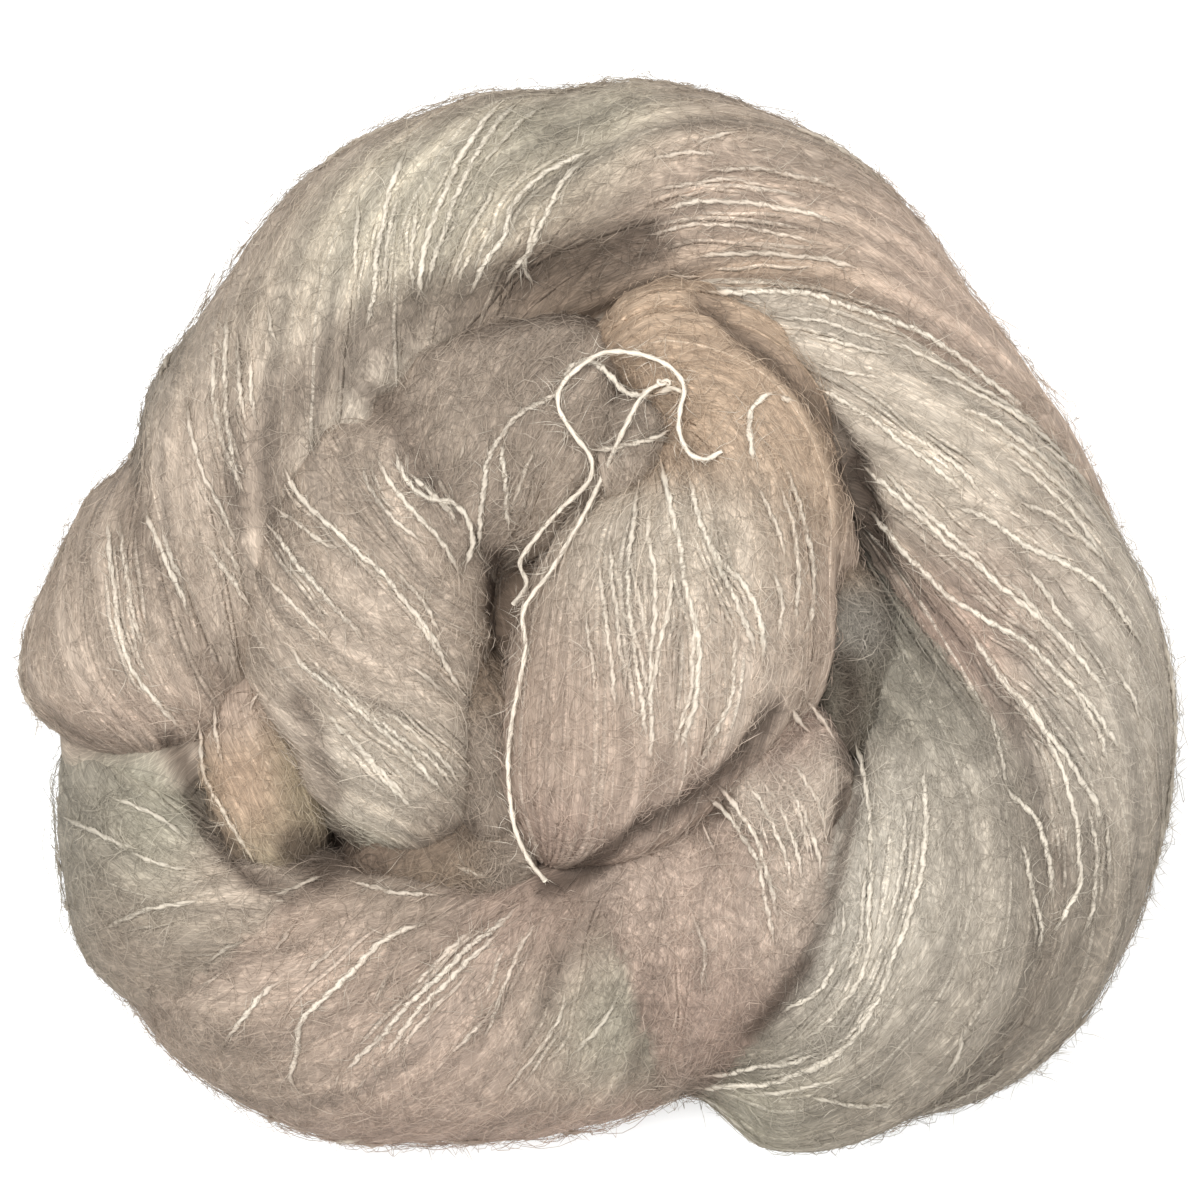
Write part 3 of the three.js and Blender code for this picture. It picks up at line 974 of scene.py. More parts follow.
RIGHT_YARNS = as_seen(
    (1.0, (700, 291), (750, 293), (800, 293), (835, 301), (868, 312), (900, 324), (940, 345), (970, 366),
     (1000, 388), (1030, 412)),
    (0.4, (770, 315), (820, 322), (860, 335), (895, 343)),
    (0.4, (800, 335), (850, 345), (900, 355)),
    (0.4, (810, 360), (850, 372), (890, 382)),
    (0.5, (880, 340), (930, 358), (975, 385), (1020, 415), (1050, 440)),
    (0.5, (920, 372), (960, 385), (1000, 405), (1040, 435), (1075, 470)),
    (0.6, (955, 405), (1000, 425), (1040, 455), (1080, 490)),
    (0.5, (985, 430), (1030, 460), (1070, 495), (1100, 530)),
    (0.5, (1000, 450), (1045, 485), (1080, 525), (1112, 575)),
    (0.5, (1035, 440), (1070, 465), (1095, 495)),
    (0.8, (815, 388), (842, 402), (870, 418), (900, 440), (930, 462), (955, 485), (970, 498)),
    (0.6, (900, 430), (930, 445), (960, 470), (985, 500)),
    (1.0, (950, 507), (980, 514), (1005, 530), (1035, 550), (1065, 565), (1090, 580), (1112, 600),
     (1130, 625), (1146, 648)),
    (0.6, (1010, 500), (1050, 515), (1080, 535), (1110, 565)),
    (0.9, (862, 462), (890, 490), (920, 518), (950, 545), (980, 565), (1005, 590), (1035, 615),
     (1060, 640), (1085, 665)),
    (0.7, (880, 465), (905, 492), (935, 522), (965, 548), (990, 570)),
    (1.0, (868, 505), (888, 532), (902, 550), (925, 575), (950, 598), (975, 612), (1000, 626),
     (1030, 645), (1055, 672), (1085, 700), (1105, 725), (1125, 755)),
    (0.9, (1000, 572), (1025, 598), (1050, 625), (1075, 652), (1098, 685), (1112, 705)),
    (0.7, (1015, 560), (1045, 590), (1060, 615), (1090, 640)),
    (0.6, (960, 590), (985, 600), (1005, 620)),
    (1.0, (965, 627), (978, 645), (990, 665), (1005, 685), (1025, 700), (1043, 725), (1062, 750),
     (1080, 780), (1095, 805), (1102, 835)),
    (0.9, (985, 655), (1010, 688), (1035, 720), (1055, 752), (1068, 785), (1076, 820), (1078, 855),
     (1078, 885), (1066, 912), (1050, 942)),
    (0.7, (1055, 670), (1080, 700), (1100, 735), (1112, 770)),
    (0.5, (1110, 660), (1130, 695), (1140, 725)),
)
LOWER_RIGHT_YARNS = as_seen(
    (0.9, (855, 735), (861, 765), (867, 800), (871, 840), (872, 880), (868, 925), (868, 950), (855, 985),
     (830, 1020), (800, 1045)),
    (0.6, (864, 860), (863, 905), (860, 945), (840, 985)),
    (0.9, (924, 760), (926, 800), (923, 850), (917, 890), (905, 930), (892, 960), (878, 995), (855, 1035),
     (828, 1062), (790, 1078)),
    (0.5, (905, 800), (902, 850), (895, 900), (885, 950)),
    (0.8, (896, 950), (884, 985), (868, 1012), (850, 1035), (820, 1055)),
    (1.0, (842, 945), (832, 972), (815, 995), (792, 1007), (772, 1016)),
    (0.5, (845, 900), (842, 930), (838, 950)),
    (0.9, (1000, 780), (1015, 800), (1037, 820), (1047, 850), (1052, 880), (1050, 912)),
    (0.8, (1018, 830), (1028, 870), (1036, 900), (1042, 930), (1036, 962)),
    (0.5, (985, 700), (997, 740), (1003, 770), (1010, 795)),
    (0.6, (1087, 800), (1096, 840), (1095, 880), (1088, 920), (1078, 942)),
    (0.4, (1105, 810), (1110, 850), (1108, 890)),
    (0.9, (700, 1078), (730, 1074), (760, 1067), (790, 1062), (825, 1050)),
    (0.9, (690, 1090), (730, 1086), (770, 1082), (800, 1072), (835, 1055), (860, 1035)),
    (0.5, (745, 1095), (800, 1090), (850, 1075)),
    (0.35, (800, 1092), (850, 1105), (900, 1106), (950, 1098)),
    (0.35, (962, 1020), (957, 1055), (942, 1085)),
)
FRONT_RIGHT_YARNS = as_seen(
    (0.8, (702, 790), (722, 810), (738, 832), (756, 860), (765, 892), (770, 920), (776, 950)),
    (0.7, (712, 782), (740, 812), (760, 845), (770, 885), (778, 925)),
    (0.8, (745, 775), (768, 815), (783, 855), (793, 890)),
    (0.7, (757, 770), (782, 812), (796, 855), (803, 885)),
    (0.6, (768, 765), (790, 790), (803, 830), (808, 860)),
    (0.7, (795, 790), (810, 825), (820, 860), (822, 880)),
    (0.8, (789, 697), (800, 720), (815, 738)),
    (0.5, (800, 695), (820, 720), (838, 745)),
    (0.5, (785, 755), (805, 780), (822, 810), (828, 845)),
    (0.4, (700, 820), (712, 845), (718, 860)),
    (0.3, (690, 905), (705, 950), (700, 1000)),
    (0.35, (680, 1000), (672, 1040)),
)
FRONT_YARNS = as_seen(
    (0.9, (520, 905), (490, 930), (465, 950), (440, 978), (410, 1003), (385, 1030), (360, 1055),
     (340, 1078)),
    (0.7, (505, 925), (470, 958), (440, 990), (415, 1015), (395, 1042), (380, 1062)),
    (0.7, (480, 925), (455, 945), (430, 968), (400, 995)),
    (1.0, (432, 923), (405, 930), (380, 945), (358, 965), (335, 987), (312, 1007), (300, 1025),
     (297, 1055), (292, 1075), (298, 1092)),
    (0.6, (298, 920), (284, 940), (270, 960)),
    (0.9, (290, 978), (270, 988), (248, 1010), (232, 1030), (222, 1048)),
    (0.5, (345, 940), (320, 960), (300, 985)),
    (0.6, (398, 962), (382, 985), (368, 1012)),
    (0.5, (460, 985), (435, 1005), (410, 1035), (395, 1055)),
    (0.5, (540, 915), (520, 950), (500, 1000), (480, 1045)),
    (0.4, (565, 985), (555, 1025), (520, 1075), (500, 1100)),
    (0.5, (345, 1065), (333, 1092)),
    (0.4, (500, 1000), (470, 1035), (445, 1060)),
    (0.5, (370, 1070), (352, 1095)),
    (0.35, (625, 990), (595, 1030), (565, 1060)),
)
LEFT_FRONT_YARNS = as_seen(
    (0.6, (57, 815), (85, 828), (115, 842), (145, 850)),
    (0.5, (105, 795), (140, 808), (175, 830), (195, 848)),
    (0.5, (95, 932), (130, 916), (170, 906), (210, 900)),
    (0.4, (120, 850), (160, 862), (200, 872)),
    (0.6, (200, 968), (225, 950), (250, 938)),
    (0.3, (190, 995), (230, 968)),
)
SMALL_LOBE_YARNS = as_seen(
    (0.5, (200, 720), (203, 760), (212, 790), (228, 820), (245, 850), (258, 868)),
    (0.5, (262, 690), (252, 705), (248, 722)),
    (0.3, (215, 700), (218, 740), (225, 770)),
)
INNER_YARNS = as_seen(
    (0.9, (282, 462), (300, 495), (325, 520), (352, 548), (380, 572), (405, 600), (430, 632), (450, 662)),
    (0.7, (268, 505), (292, 520), (320, 540), (350, 550)),
    (0.8, (264, 520), (285, 545), (300, 565), (320, 590), (345, 620), (370, 645)),
    (0.5, (258, 570), (282, 595), (310, 620), (340, 650)),
    (0.9, (285, 640), (308, 668), (330, 685), (342, 695), (368, 720), (395, 742), (425, 770), (450, 800)),
    (0.9, (318, 705), (340, 728), (365, 755), (390, 780), (415, 805)),
    (0.7, (300, 650), (330, 675), (360, 705), (395, 735), (430, 760), (460, 790)),
    (0.7, (345, 735), (375, 770), (400, 795), (420, 815)),
    (0.6, (370, 700), (410, 730), (445, 765), (465, 790)),
    (0.8, (375, 448), (388, 478), (402, 500), (425, 525), (448, 552), (465, 580)),
    (0.6, (360, 460), (378, 500), (400, 525), (430, 550)),
    (0.7, (405, 605), (430, 640), (448, 668), (466, 695)),
    (0.4, (400, 660), (430, 680), (455, 705)),
    (0.5, (385, 560), (420, 600), (445, 640)),
    (0.35, (508, 370), (512, 395)),
    (0.5, (470, 430), (462, 452), (458, 470)),
    (0.4, (540, 440), (520, 480), (508, 520)),
)
TOP_LOBE_YARNS = as_seen(
    (1.0, (661, 456), (667, 485), (674, 515), (680, 550), (685, 590), (696, 625), (700, 655), (696, 695),
     (686, 728), (677, 755)),
    (0.9, (688, 470), (697, 505), (708, 540), (722, 575), (738, 608), (750, 635), (757, 660)),
    (0.9, (706, 530), (722, 562), (742, 580), (756, 612), (762, 640), (760, 672)),
    (0.7, (640, 480), (636, 515), (629, 555), (627, 590), (633, 635), (640, 680), (644, 720), (645, 745)),
    (0.6, (650, 500), (648, 540), (655, 580), (655, 625), (651, 665), (650, 710), (651, 770)),
    (0.6, (671, 560), (669, 600), (662, 640), (656, 670), (652, 700)),
    (0.5, (612, 535), (612, 580), (618, 630), (622, 680)),
    (0.5, (600, 555), (604, 610), (612, 670), (618, 715)),
    (0.5, (702, 600), (693, 640), (690, 690), (680, 730), (668, 755)),
    (0.6, (735, 620), (733, 660), (730, 700), (715, 735), (697, 770)),
    (0.7, (765, 560), (778, 585), (780, 612), (775, 645)),
    (0.6, (784, 460), (800, 505), (811, 555), (812, 600), (805, 640)),
    (0.5, (778, 480), (795, 540), (799, 590), (794, 632)),
    (0.4, (755, 480), (775, 525), (785, 565)),
    (0.4, (585, 600), (590, 650), (595, 700)),
    (0.35, (625, 540), (640, 600), (645, 650)),
    (0.4, (620, 600), (640, 650), (645, 700)),
    (0.35, (700, 590), (708, 612), (722, 628)),
)
LOOSE_YARNS = as_seen(
    (0.7, (577, 383), (548, 397), (520, 413), (503, 433), (490, 458), (484, 490), (480, 520), (477, 550)),
    bridge=25, fade=2.0,
) + as_seen(
    (0.8, (500, 440), (503, 470), (507, 500), (510, 530)),
    (1.0, (395, 450), (408, 480), (425, 498), (455, 505), (470, 530), (472, 550), (465, 568)),
    bridge=25, fade=1.5,
) + as_seen(
    (0.8, (408, 470), (430, 492), (450, 512), (458, 530)),
    bridge=15, fade=1.5,
) + as_seen(
    (1.0, (560, 382), (572, 368), (590, 364), (607, 373), (620, 388), (632, 395), (655, 394)),
    bridge=25, fade=1.0,
) + as_seen(
    (0.9, (655, 394), (672, 388), (688, 395)),
    bridge=15, fade=1.0,
) + as_seen(
    (0.8, (590, 449), (620, 446), (650, 440), (672, 430)),
    bridge=15, fade=2.0,
) + as_seen(
    (1.0, (752, 462), (749, 435), (752, 412), (763, 398), (775, 393)),
    (0.6, (775, 393), (785, 400), (797, 401)),
    bridge=9, fade=1.0,
) + as_seen(
    (0.4, (265, 897), (300, 886), (330, 874)),
    (0.5, (350, 881), (375, 886), (400, 894), (440, 896)),
    (0.4, (450, 865), (478, 873), (500, 880)),
    bridge=15, fade=2.0,
)
SEEN_YARNS = (
    LEFT_END_YARNS + TOP_LEFT_YARNS + TOP_YARNS + RIGHT_YARNS + LOWER_RIGHT_YARNS
    + FRONT_RIGHT_YARNS + FRONT_YARNS + LEFT_FRONT_YARNS + SMALL_LOBE_YARNS + INNER_YARNS
    + TOP_LOBE_YARNS + LOOSE_YARNS
)


def blurred(plan: Array) -> Array:
    """A plan's values, each the mean of itself and its neighbours."""
    padded = np.pad(plan, 1, mode="edge")
    rows, columns = plan.shape
    return sum(padded[i:i + rows, j:j + columns] for i in range(3) for j in range(3)) / 9


@dataclass
class Relief:
    """The heights and the colours of the hank's upper side over the ground plan."""

    cell: float = 0.6
    reach: float = 84.0
    sample_step: float = 0.4
    samples_around: int = 200
    heights: Array = field(init=False)
    colours: Array = field(init=False)

    def __post_init__(self) -> None:
        """Reads every rope's surface into the plan, and smooths it."""
        side = round(2 * self.reach / self.cell)
        self.heights = np.zeros((side, side))
        self.colours = np.full((side, side, 3), UMBER)
        w = np.linspace(0, 1, self.samples_around)[None]
        for rope in ROPES:
            samples = round(rope.length() / self.sample_step)
            u = np.linspace(NEAR_END, rope.last - NEAR_END, samples)[:, None]
            points, colours = rope.surface(u, w, rope.bundles(u, w) * BUNDLES_FOLLOWED)
            points, colours = points.reshape(-1, 3), colours.reshape(-1, 3)
            order = np.argsort(points[:, 2])
            column, row = self.cells(points[order])
            higher = points[order, 2] >= self.heights[row, column]
            row, column, order = row[higher], column[higher], order[higher]
            self.heights[row, column] = points[order, 2]
            self.colours[row, column] = colours[order]
        for _ in range(2):
            self.heights = blurred(self.heights)

    def cells(self, points: Array) -> tuple[Array, Array]:
        """The column and row numbers of points' cells."""
        places = np.floor((points[..., :2] + self.reach) / self.cell).astype(int)
        places = np.clip(places, 0, len(self.heights) - 1)
        return places[..., 0], places[..., 1]

    def height(self, points: Array) -> Array:
        """Heights at points of the plan, in millimetres."""
        column, row = self.cells(points)
        return self.heights[row, column]

    def colour(self, points: Array) -> Array:
        """Colours at points of the plan."""
        column, row = self.cells(points)
        return self.colours[row, column]


def linear(colours: Array) -> Array:
    """Colours as the eye sees them, as the amounts of light that the renderer works with."""
    colours = np.clip(colours, 0, 1)
    return np.where(colours < 0.04045, colours / 12.92, ((colours + 0.055) / 1.055) ** 2.4)


def put_tint(mesh: Mesh, colours: Array) -> None:
    """Stores a colour on each vertex as the attribute `tint`.

    Args:
        mesh: The mesh.
        colours: Red, green and blue as the eye sees them, one row a vertex.
    """
    layer = mesh.color_attributes.new("tint", "FLOAT_COLOR", "POINT")
    rows = np.concatenate([linear(colours), np.ones((len(colours), 1))], axis=1)
    layer.data.foreach_set("color", rows.astype(np.float32).ravel())


def placed(name: str, data: ID) -> Object:
    """A new object of the scene, at the origin."""
    thing = bpy.data.objects.new(name, data)
    bpy.context.scene.collection.objects.link(thing)
    return thing


def put_object(name: str, mesh: Mesh, material: Material) -> Object:
    """Links a mesh to the scene as a smooth-shaded piece that rides with the hank.

    Args:
        name: The piece's name.
        mesh: Its mesh.
        material: Its finish.

    Returns:
        The piece.
    """
    mesh.materials.clear()
    mesh.materials.append(material)
    mesh.polygons.foreach_set("use_smooth", np.ones(len(mesh.polygons), bool))
    piece = placed(name, mesh)
    mesh.name = name
    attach(piece, "root")
    LOG.info("%s: %d faces", name, len(mesh.polygons))
    return piece


def longest_run(flags: Array) -> tuple[int, int]:
    """The start and the end of the longest unbroken row of true flags."""
    turns = np.flatnonzero(np.diff(np.concatenate([[0], flags.astype(int), [0]])))
    if not len(turns):
        return 0, 0
    longest = int(np.argmax(turns[1::2] - turns[::2]))
    return int(turns[2 * longest]), int(turns[2 * longest + 1])


@dataclass
class Strands:
    """Many fine yarns or fibres, gathered as centre lines and then made into one mesh."""

    name: str
    sides: int
    flatness: float = 1.0
    lines: list[Array] = field(default_factory=list)
    radii: list[Array] = field(default_factory=list)
    tilts: list[Array] = field(default_factory=list)
    colours: list[Array] = field(default_factory=list)

    def add(self, line: Array, radius: Array, colour: Array, tilt: Array | None = None) -> None:
        """Adds one strand.

        Args:
            line: Points on its centre line, in millimetres.
            radius: Its radius at each, in millimetres.
            colour: Its colour at each, as the eye sees it.
            tilt: How far its section is turned at each, in radians.
        """
        self.lines.append(line)
        self.radii.append(radius)
        self.colours.append(colour)
        self.tilts.append(np.zeros(len(line)) if tilt is None else tilt)

    def section(self) -> Object:
        """The outline that is swept along every strand."""
        outline = bpy.data.curves.new(self.name + "_section", "CURVE")
        spline = outline.splines.new("POLY")
        spline.points.add(self.sides - 1)
        spline.use_cyclic_u = True
        for i, corner in enumerate(spline.points):
            angle = 2 * math.pi * i / self.sides
            corner.co = (math.cos(angle), math.sin(angle) * self.flatness, 0, 1)
        return placed(outline.name, outline)

    def mesh(self) -> Mesh:
        """Sweeps the section along every strand and closes the ends.

        Returns:
            The mesh in metres, with its tint and its flat map.
        """
        section = self.section()
        curve = bpy.data.curves.new(self.name, "CURVE")
        curve.dimensions = "3D"
        curve.bevel_mode = "OBJECT"
        curve.bevel_object = section
        curve.use_fill_caps = True
        curve.twist_mode = "MINIMUM"
        for line, radius, tilt in zip(self.lines, self.radii, self.tilts):
            spline = curve.splines.new("POLY")
            spline.points.add(len(line) - 1)
            rows = np.concatenate([line * MM, np.ones((len(line), 1))], axis=1)
            spline.points.foreach_set("co", rows.astype(np.float32).ravel())
            spline.points.foreach_set("radius", (radius * MM).astype(np.float32))
            spline.points.foreach_set("tilt", tilt.astype(np.float32))
        holder = placed(self.name, curve)
        drawn = holder.evaluated_get(bpy.context.evaluated_depsgraph_get())
        mesh = bpy.data.meshes.new_from_object(drawn)
        for used in (holder, section):
            data = used.data
            bpy.data.objects.remove(used)
            bpy.data.curves.remove(data)
        self.dress(mesh)
        return mesh

    def dress(self, mesh: Mesh) -> None:
        """Stores the tint and the flat map, and welds the ends shut.

        The sweep puts the rings of the ends that aren't pointed first, last strand first, and then
        every ring in order.
        """
        strands = zip(reversed(self.colours), reversed(self.radii))
        ends = [c[k] for c, r in strands for k in (-1, 0) if r[k] > 0]
        rings = np.concatenate([np.reshape(ends, (-1, 3)), *self.colours])
        if len(rings) * self.sides != len(mesh.vertices):
            raise ValueError(f"{self.name}: the sweep gave {len(mesh.vertices)} vertices")
        put_tint(mesh, np.repeat(rings, self.sides, axis=0))
        work = bmesh.new()
        work.from_mesh(mesh)
        bmesh.ops.remove_doubles(work, verts=work.verts, dist=WELD)
        work.to_mesh(mesh)
        work.free()
        flat_map(mesh)


def flat_map(mesh: Mesh) -> None:
    """Gives a mesh of thin strands a map seen from above, so that neighbours share their tint."""
    while mesh.uv_layers:
        mesh.uv_layers.remove(mesh.uv_layers[0])
    layer = mesh.uv_layers.new(name="OFBake")
    places = np.empty(len(mesh.vertices) * 3, np.float32)
    mesh.vertices.foreach_get("co", places)
    corners = np.empty(len(mesh.loops), np.int32)
    mesh.loops.foreach_get("vertex_index", corners)
    flat = places.reshape(-1, 3)[corners, :2] / (MAP_SIDE * MM) + 0.5
    layer.data.foreach_set("uv", flat.astype(np.float32).ravel())


class NodeMaker:
    """Short ways to add and join shader nodes in one tree."""

    def __init__(self, tree: NodeTree) -> None:
        """Keeps the tree."""
        self.tree = tree

    def fill(self, node: Node, inputs: dict[str | int, object]) -> None:
        """Joins a node's inputs to the sockets given for them, and sets the others."""
        for name, value in inputs.items():
            if isinstance(value, NodeSocket):
                self.tree.links.new(value, node.inputs[name])
            else:
                node.inputs[name].default_value = value

    def add(self, kind: str, inputs: dict[str | int, object] | None = None, **properties: object) -> Node:
        """Adds a node.

        Args:
            kind: Its kind.
            inputs: Values or sockets for its inputs.
            properties: Its properties.

        Returns:
            The node.
        """
        node = self.tree.nodes.new(kind)
        for name, value in properties.items():
            setattr(node, name, value)
        self.fill(node, inputs or {})
        return node

    def math(self, operation: str, *inputs: object) -> NodeSocket:
        """The result of an operation on values and sockets."""
        return self.add("ShaderNodeMath", dict(enumerate(inputs)), operation=operation).outputs[0]

    def noise(self, place: NodeSocket, scale: NodeSocket) -> NodeSocket:
        """Soft noise at a place and a scale."""
        return self.add("ShaderNodeTexNoise", {"Vector": place, "Scale": scale, "Detail": 1}).outputs["Fac"]


class SharedGroup:
    """A shader node group that every finish can use."""

    def __init__(self, name: str, inputs: dict[str, str], output: str, kind: str = "Float") -> None:
        """Makes the group with its sockets.

        Args:
            name: Its name.
            inputs: The kinds of its inputs by name.
            output: The name of its output.
            kind: The kind of its output.
        """
        self.tree = bpy.data.node_groups.new(name, "ShaderNodeTree")
        sockets = [(given, "INPUT", given_kind) for given, given_kind in inputs.items()]
        for socket, way, socket_kind in (*sockets, (output, "OUTPUT", kind)):
            self.tree.interface.new_socket(socket, in_out=way, socket_type="NodeSocket" + socket_kind)
        self.make, self.output = NodeMaker(self.tree), output
        self.given = self.make.add("NodeGroupInput").outputs

    def finish(self, result: NodeSocket) -> NodeTree:
        """Gives out a result, and returns the group."""
        self.make.add("NodeGroupOutput", {self.output: result})
        return self.tree


def line_group() -> NodeTree:
    """Thin curly lines, as single fibres in a mat show.

    Returns:
        A group that takes a place and a scale, and gives 1 on a line and 0 between lines.
    """
    group = SharedGroup("fibre_lines", {"Place": "Vector", "Scale": "Float"}, "Lines")
    make = group.make
    level = make.math("MULTIPLY", make.noise(group.given["Place"], group.given["Scale"]), 4)
    fold = make.math("PINGPONG", level, 0.5)
    line = make.add("ShaderNodeMapRange", {"Value": fold, "From Max": 0.16, "To Min": 1, "To Max": 0})
    return group.finish(line.outputs["Result"])


def mat_group() -> NodeTree:
    """A mat of fine fibres that cross at small angles, drawn out along the yarns.

    Returns:
        A group that takes a place and gives how many fibres cross there.
    """
    group = SharedGroup("fibre_mat", {"Place": "Vector"}, "Height")
    make, lines, total = group.make, line_group(), None
    for degrees, drawn_out, scale in ((6, 9.0, 1500), (38, 5.5, 1200), (-30, 6.5, 1000)):
        turned = make.add(
            "ShaderNodeMapping",
            {"Rotation": (0, 0, math.radians(degrees)), "Scale": (drawn_out, 1, 1),
             "Vector": group.given["Place"]},
            vector_type="TEXTURE",
        )
        layer = make.add(
            "ShaderNodeGroup", {"Scale": scale, "Place": turned.outputs["Vector"]}, node_tree=lines
        ).outputs["Lines"]
        total = layer if total is None else make.math("ADD", total, layer)
    return group.finish(total)


def dye_and_shade_group() -> NodeTree:
    """The colour of dyed mohair, with the painted shade that its tint carries, shared by every finish.

    Returns:
        A group that takes a place, the fibres that cross there and how much they show, a
        lightness, an unevenness and a patch size, and gives the colour.
    """
    names = ("Crossing", "Fibres", "Lightness", "Unevenness", "Patches")
    inputs = {"Place": "Vector", **dict.fromkeys(names, "Float")}
    group = SharedGroup("mohair_dye_and_shade", inputs, "Color", "Color")
    make, given = group.make, group.given
    patches = make.math("SUBTRACT", make.noise(given["Place"], given["Patches"]), 0.5)
    level = make.math("MULTIPLY_ADD", patches, given["Unevenness"], given["Lightness"])
    level = make.math("MULTIPLY_ADD", given["Crossing"], given["Fibres"], level)
    tint = make.add("ShaderNodeAttribute", attribute_name="tint").outputs["Color"]
    scaled = make.add("ShaderNodeVectorMath", {0: tint, "Scale": level}, operation="SCALE")
    return group.finish(scaled.outputs[0])


@dataclass(frozen=True)
class MohairFinish:
    """A finish of dyed mohair: its lightness, its unevenness, and how much fine fibre shows.

    `follows` tells that its patterns run along the yarns, by the attribute `lay`, and `stretch`
    is how much they are drawn out there.
    """

    name: str
    lightness: float
    unevenness: float
    patches: float
    roughness: float
    fibres: float = 0.0
    relief: float = 0.0
    follows: bool = False
    stretch: float = 0.22

    def material(self, mohair_dye_and_shade: NodeTree, mat: NodeTree) -> Material:
        """Makes the material.

        Args:
            mohair_dye_and_shade: The shared colour group.
            mat: The shared group of fine fibres.

        Returns:
            The material.
        """
        material = bpy.data.materials.new(self.name)
        material.use_nodes = True
        make = NodeMaker(material.node_tree)
        if self.follows:
            place = make.add("ShaderNodeAttribute", attribute_name="lay").outputs["Vector"]
            stretched = {0: place, 1: (self.stretch, 1, 1)}
            drawn = make.add("ShaderNodeVectorMath", stretched, operation="MULTIPLY").outputs[0]
        else:
            place = drawn = make.add("ShaderNodeTexCoord").outputs["Object"]
        values = {
            "Place": drawn, "Lightness": self.lightness, "Unevenness": self.unevenness,
            "Patches": self.patches, "Fibres": self.fibres,
        }
        surface = {"Roughness": self.roughness, "Specular IOR Level": 0.25}
        if self.fibres:
            crossing = make.add("ShaderNodeGroup", {"Place": place}, node_tree=mat).outputs["Height"]
            values["Crossing"] = crossing
            if self.relief:
                heights = {"Strength": self.relief, "Distance": FIBRE_DEPTH * MM, "Height": crossing}
                surface["Normal"] = make.add("ShaderNodeBump", heights).outputs["Normal"]
        dyed = make.add("ShaderNodeGroup", values, node_tree=mohair_dye_and_shade)
        surface["Base Color"] = dyed.outputs["Color"]
        make.fill(material.node_tree.nodes["Principled BSDF"], surface)
        return material


CORE_FINISH = MohairFinish(
    "mohair_core", lightness=0.65, unevenness=0.09, patches=260, roughness=0.9, fibres=0.24,
    relief=0.4, follows=True,
)
SOFT_FINISH = MohairFinish(
    "mohair_soft", lightness=0.67, unevenness=0.15, patches=70, roughness=0.85, fibres=0.26
)
BRIGHT_FINISH = MohairFinish(
    "mohair_bright", lightness=0.83, unevenness=0.2, patches=400, roughness=0.7
)
HALO_FINISH = MohairFinish("mohair_halo", lightness=0.81, unevenness=0.15, patches=150, roughness=0.8)
TIE_FINISH = MohairFinish(
    "tie_yarn", lightness=0.86, unevenness=0.2, patches=400, roughness=0.7, fibres=0.08, relief=0.3
)


class Finishes:
    """Every finish of the hank as a material, made once."""

    def __init__(self) -> None:
        """Makes the shared groups and the materials."""
        groups = dye_and_shade_group(), mat_group()
        self.core = CORE_FINISH.material(*groups)
        self.soft = SOFT_FINISH.material(*groups)
        self.bright = BRIGHT_FINISH.material(*groups)
        self.halo = HALO_FINISH.material(*groups)
        self.tie = TIE_FINISH.material(*groups)


